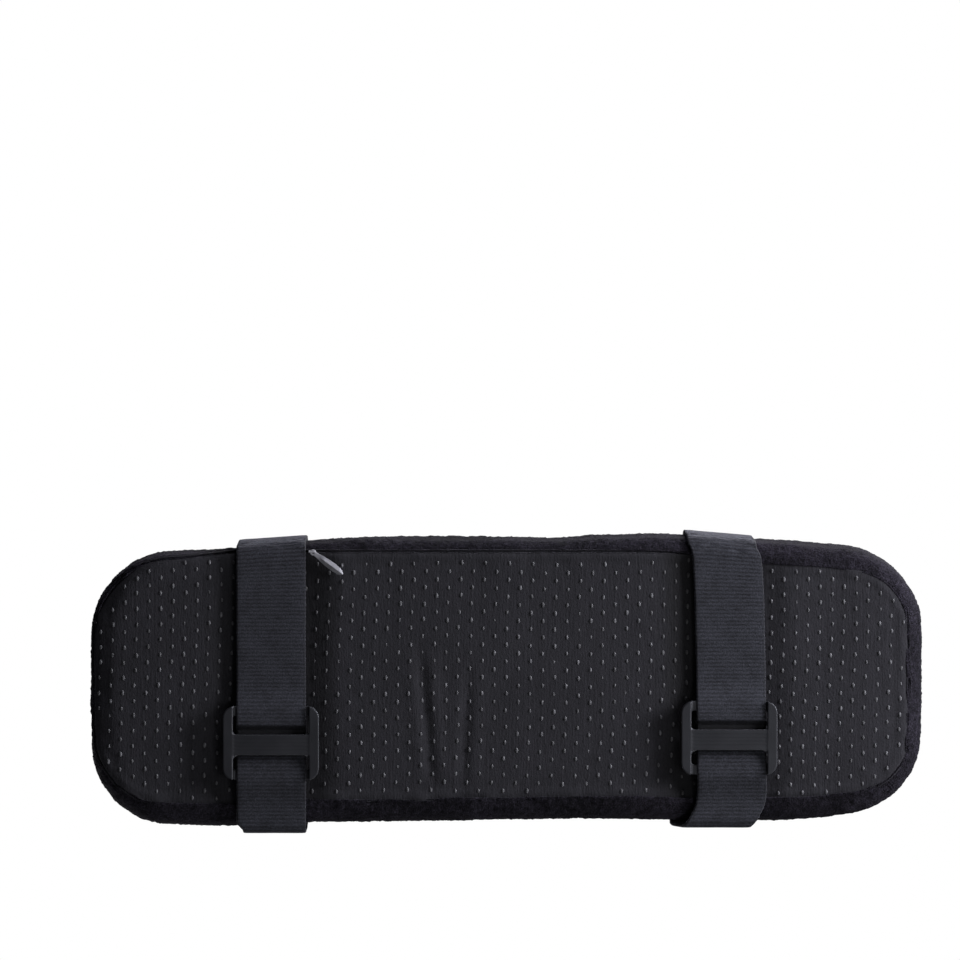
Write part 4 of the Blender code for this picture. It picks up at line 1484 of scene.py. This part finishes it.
# ---------------------------------------------------------------- camera, in metres
def add_camera(eye, aim, lens):
    """Looks up at the underside, with -Y upwards in the picture."""
    data = bpy.data.cameras.new("camera")
    camera = bpy.data.objects.new("camera", data)
    scene.collection.objects.link(camera)
    data.sensor_width = 36
    data.lens = lens
    data.clip_start, data.clip_end = 0.05, 20
    ahead = (aim - eye).normalized()
    right = ahead.cross(Vector((0, -1, 0))).normalized()
    above = right.cross(ahead)
    camera.matrix_world = Matrix((
        *((right[k], above[k], -ahead[k], eye[k]) for k in range(3)), (0, 0, 0, 1)))
    scene.camera = camera


add_camera(eye=Vector((0.0, -0.230, -2.39)), aim=Vector((-0.0079, -0.0598, 0.0)), lens=297.9)


# ---------------------------------------------------------------- world, floor, lights
def add_world():
    """White to the camera, with a faint cool fill for everything else."""
    world = bpy.data.worlds.new("studio")
    scene.world = world
    world.use_nodes = True
    nodes, links = world.node_tree.nodes, world.node_tree.links
    nodes.clear()
    output = nodes.new("ShaderNodeOutputWorld")
    light_path = nodes.new("ShaderNodeLightPath")
    seen, fill = nodes.new("ShaderNodeBackground"), nodes.new("ShaderNodeBackground")
    seen.inputs["Color"].default_value = (1, 1, 1, 1)
    seen.inputs["Strength"].default_value = 1.0
    fill.inputs["Color"].default_value = (0.94, 0.96, 1.0, 1)
    fill.inputs["Strength"].default_value = 0.085
    mixer = nodes.new("ShaderNodeMixShader")
    links.new(light_path.outputs["Is Camera Ray"], mixer.inputs[0])
    links.new(fill.outputs[0], mixer.inputs[1])
    links.new(seen.outputs[0], mixer.inputs[2])
    links.new(mixer.outputs[0], output.inputs[0])


def pale_floor():
    """Fades to an even glow away from the pad, and is clear from below."""
    net = Net("pale_floor")
    colour = net.ramp(net.noise(scale=6, detail=2), (0.3, 0.80), (0.7, 0.83))
    net.surface(Base_Color=colour, Roughness=0.75, Specular_IOR_Level=0.2)
    geometry = net.new("ShaderNodeNewGeometry")
    clear = net.new("ShaderNodeBsdfTransparent")
    by_face = net.new("ShaderNodeMixShader")
    glow = net.new("ShaderNodeEmission", {"Color": (0.97, 0.97, 0.975, 1)})
    away = net.new("ShaderNodeVectorMath", {0: net.place}, operation="LENGTH")
    away = net.math("DIVIDE", away.outputs["Value"], 1.6)
    pale = net.new("ShaderNodeMixShader", {
        0: net.ramp(away, (0.12, 0.0), (0.62, 1.0)), 1: net.shader.outputs[0],
        2: glow.outputs[0]})
    net.fill(by_face, {0: geometry.outputs["Backfacing"], 1: pale.outputs[0],
                       2: clear.outputs[0]})
    net.link(by_face.outputs[0], net.tree.nodes["Material Output"].inputs["Surface"])
    return net.material


def add_floor(half=6, gap=0.0004):
    mesh = bpy.data.meshes.new("floor")
    mesh.from_pydata([(-half, -half, 0), (half, -half, 0), (half, half, 0), (-half, half, 0)],
                     [], [(0, 1, 2, 3)])
    floor = bpy.data.objects.new("floor", mesh)
    floor.location.z = cad_low[2] - gap
    scene.collection.objects.link(floor)
    mesh.materials.append(pale_floor())
    floor.visible_diffuse = floor.visible_glossy = floor.visible_transmission = False
    floor.visible_shadow = False


def softbox(name, at, aim, size, power, colour=(1, 1, 1)):
    data = bpy.data.lights.new(name, "AREA")
    data.shape = "RECTANGLE"
    data.size, data.size_y = size
    data.energy = power
    data.color = colour
    obj = bpy.data.objects.new(name, data)
    obj.location = at
    obj.rotation_mode = "QUATERNION"
    obj.rotation_quaternion = (Vector(aim) - Vector(at)).to_track_quat("-Z", "Y")
    scene.collection.objects.link(obj)
    obj.visible_camera = False


add_world()
add_floor()
softbox("key_low", at=(0.50, -0.17, -0.185), aim=(0.0, 0, 0), size=(0.28, 0.17), power=7.0,
        colour=(0.96, 0.96, 1.0))
softbox("edge_low", at=(0.24, -0.78, -0.18), aim=(0.02, -0.02, 0.01), size=(0.5, 0.14),
        power=4.2, colour=(0.95, 0.95, 1.0))
softbox("far_low", at=(0.10, 0.75, -0.30), aim=(0.02, 0.03, 0), size=(0.5, 0.2), power=1.8)
softbox("fill_low", at=(0.46, 0.13, -0.93), aim=(0, 0, 0), size=(0.28, 0.28), power=2.3)
softbox("key_high", at=(0.5, -0.6, 0.9), aim=(0, 0, 0.02), size=(0.6, 0.6), power=12.0)
softbox("fill_high", at=(-0.7, 0.5, 0.8), aim=(0, 0, 0.02), size=(0.9, 0.9), power=6.0)

scene.view_settings.view_transform = "Standard"
scene.view_settings.look = "None"
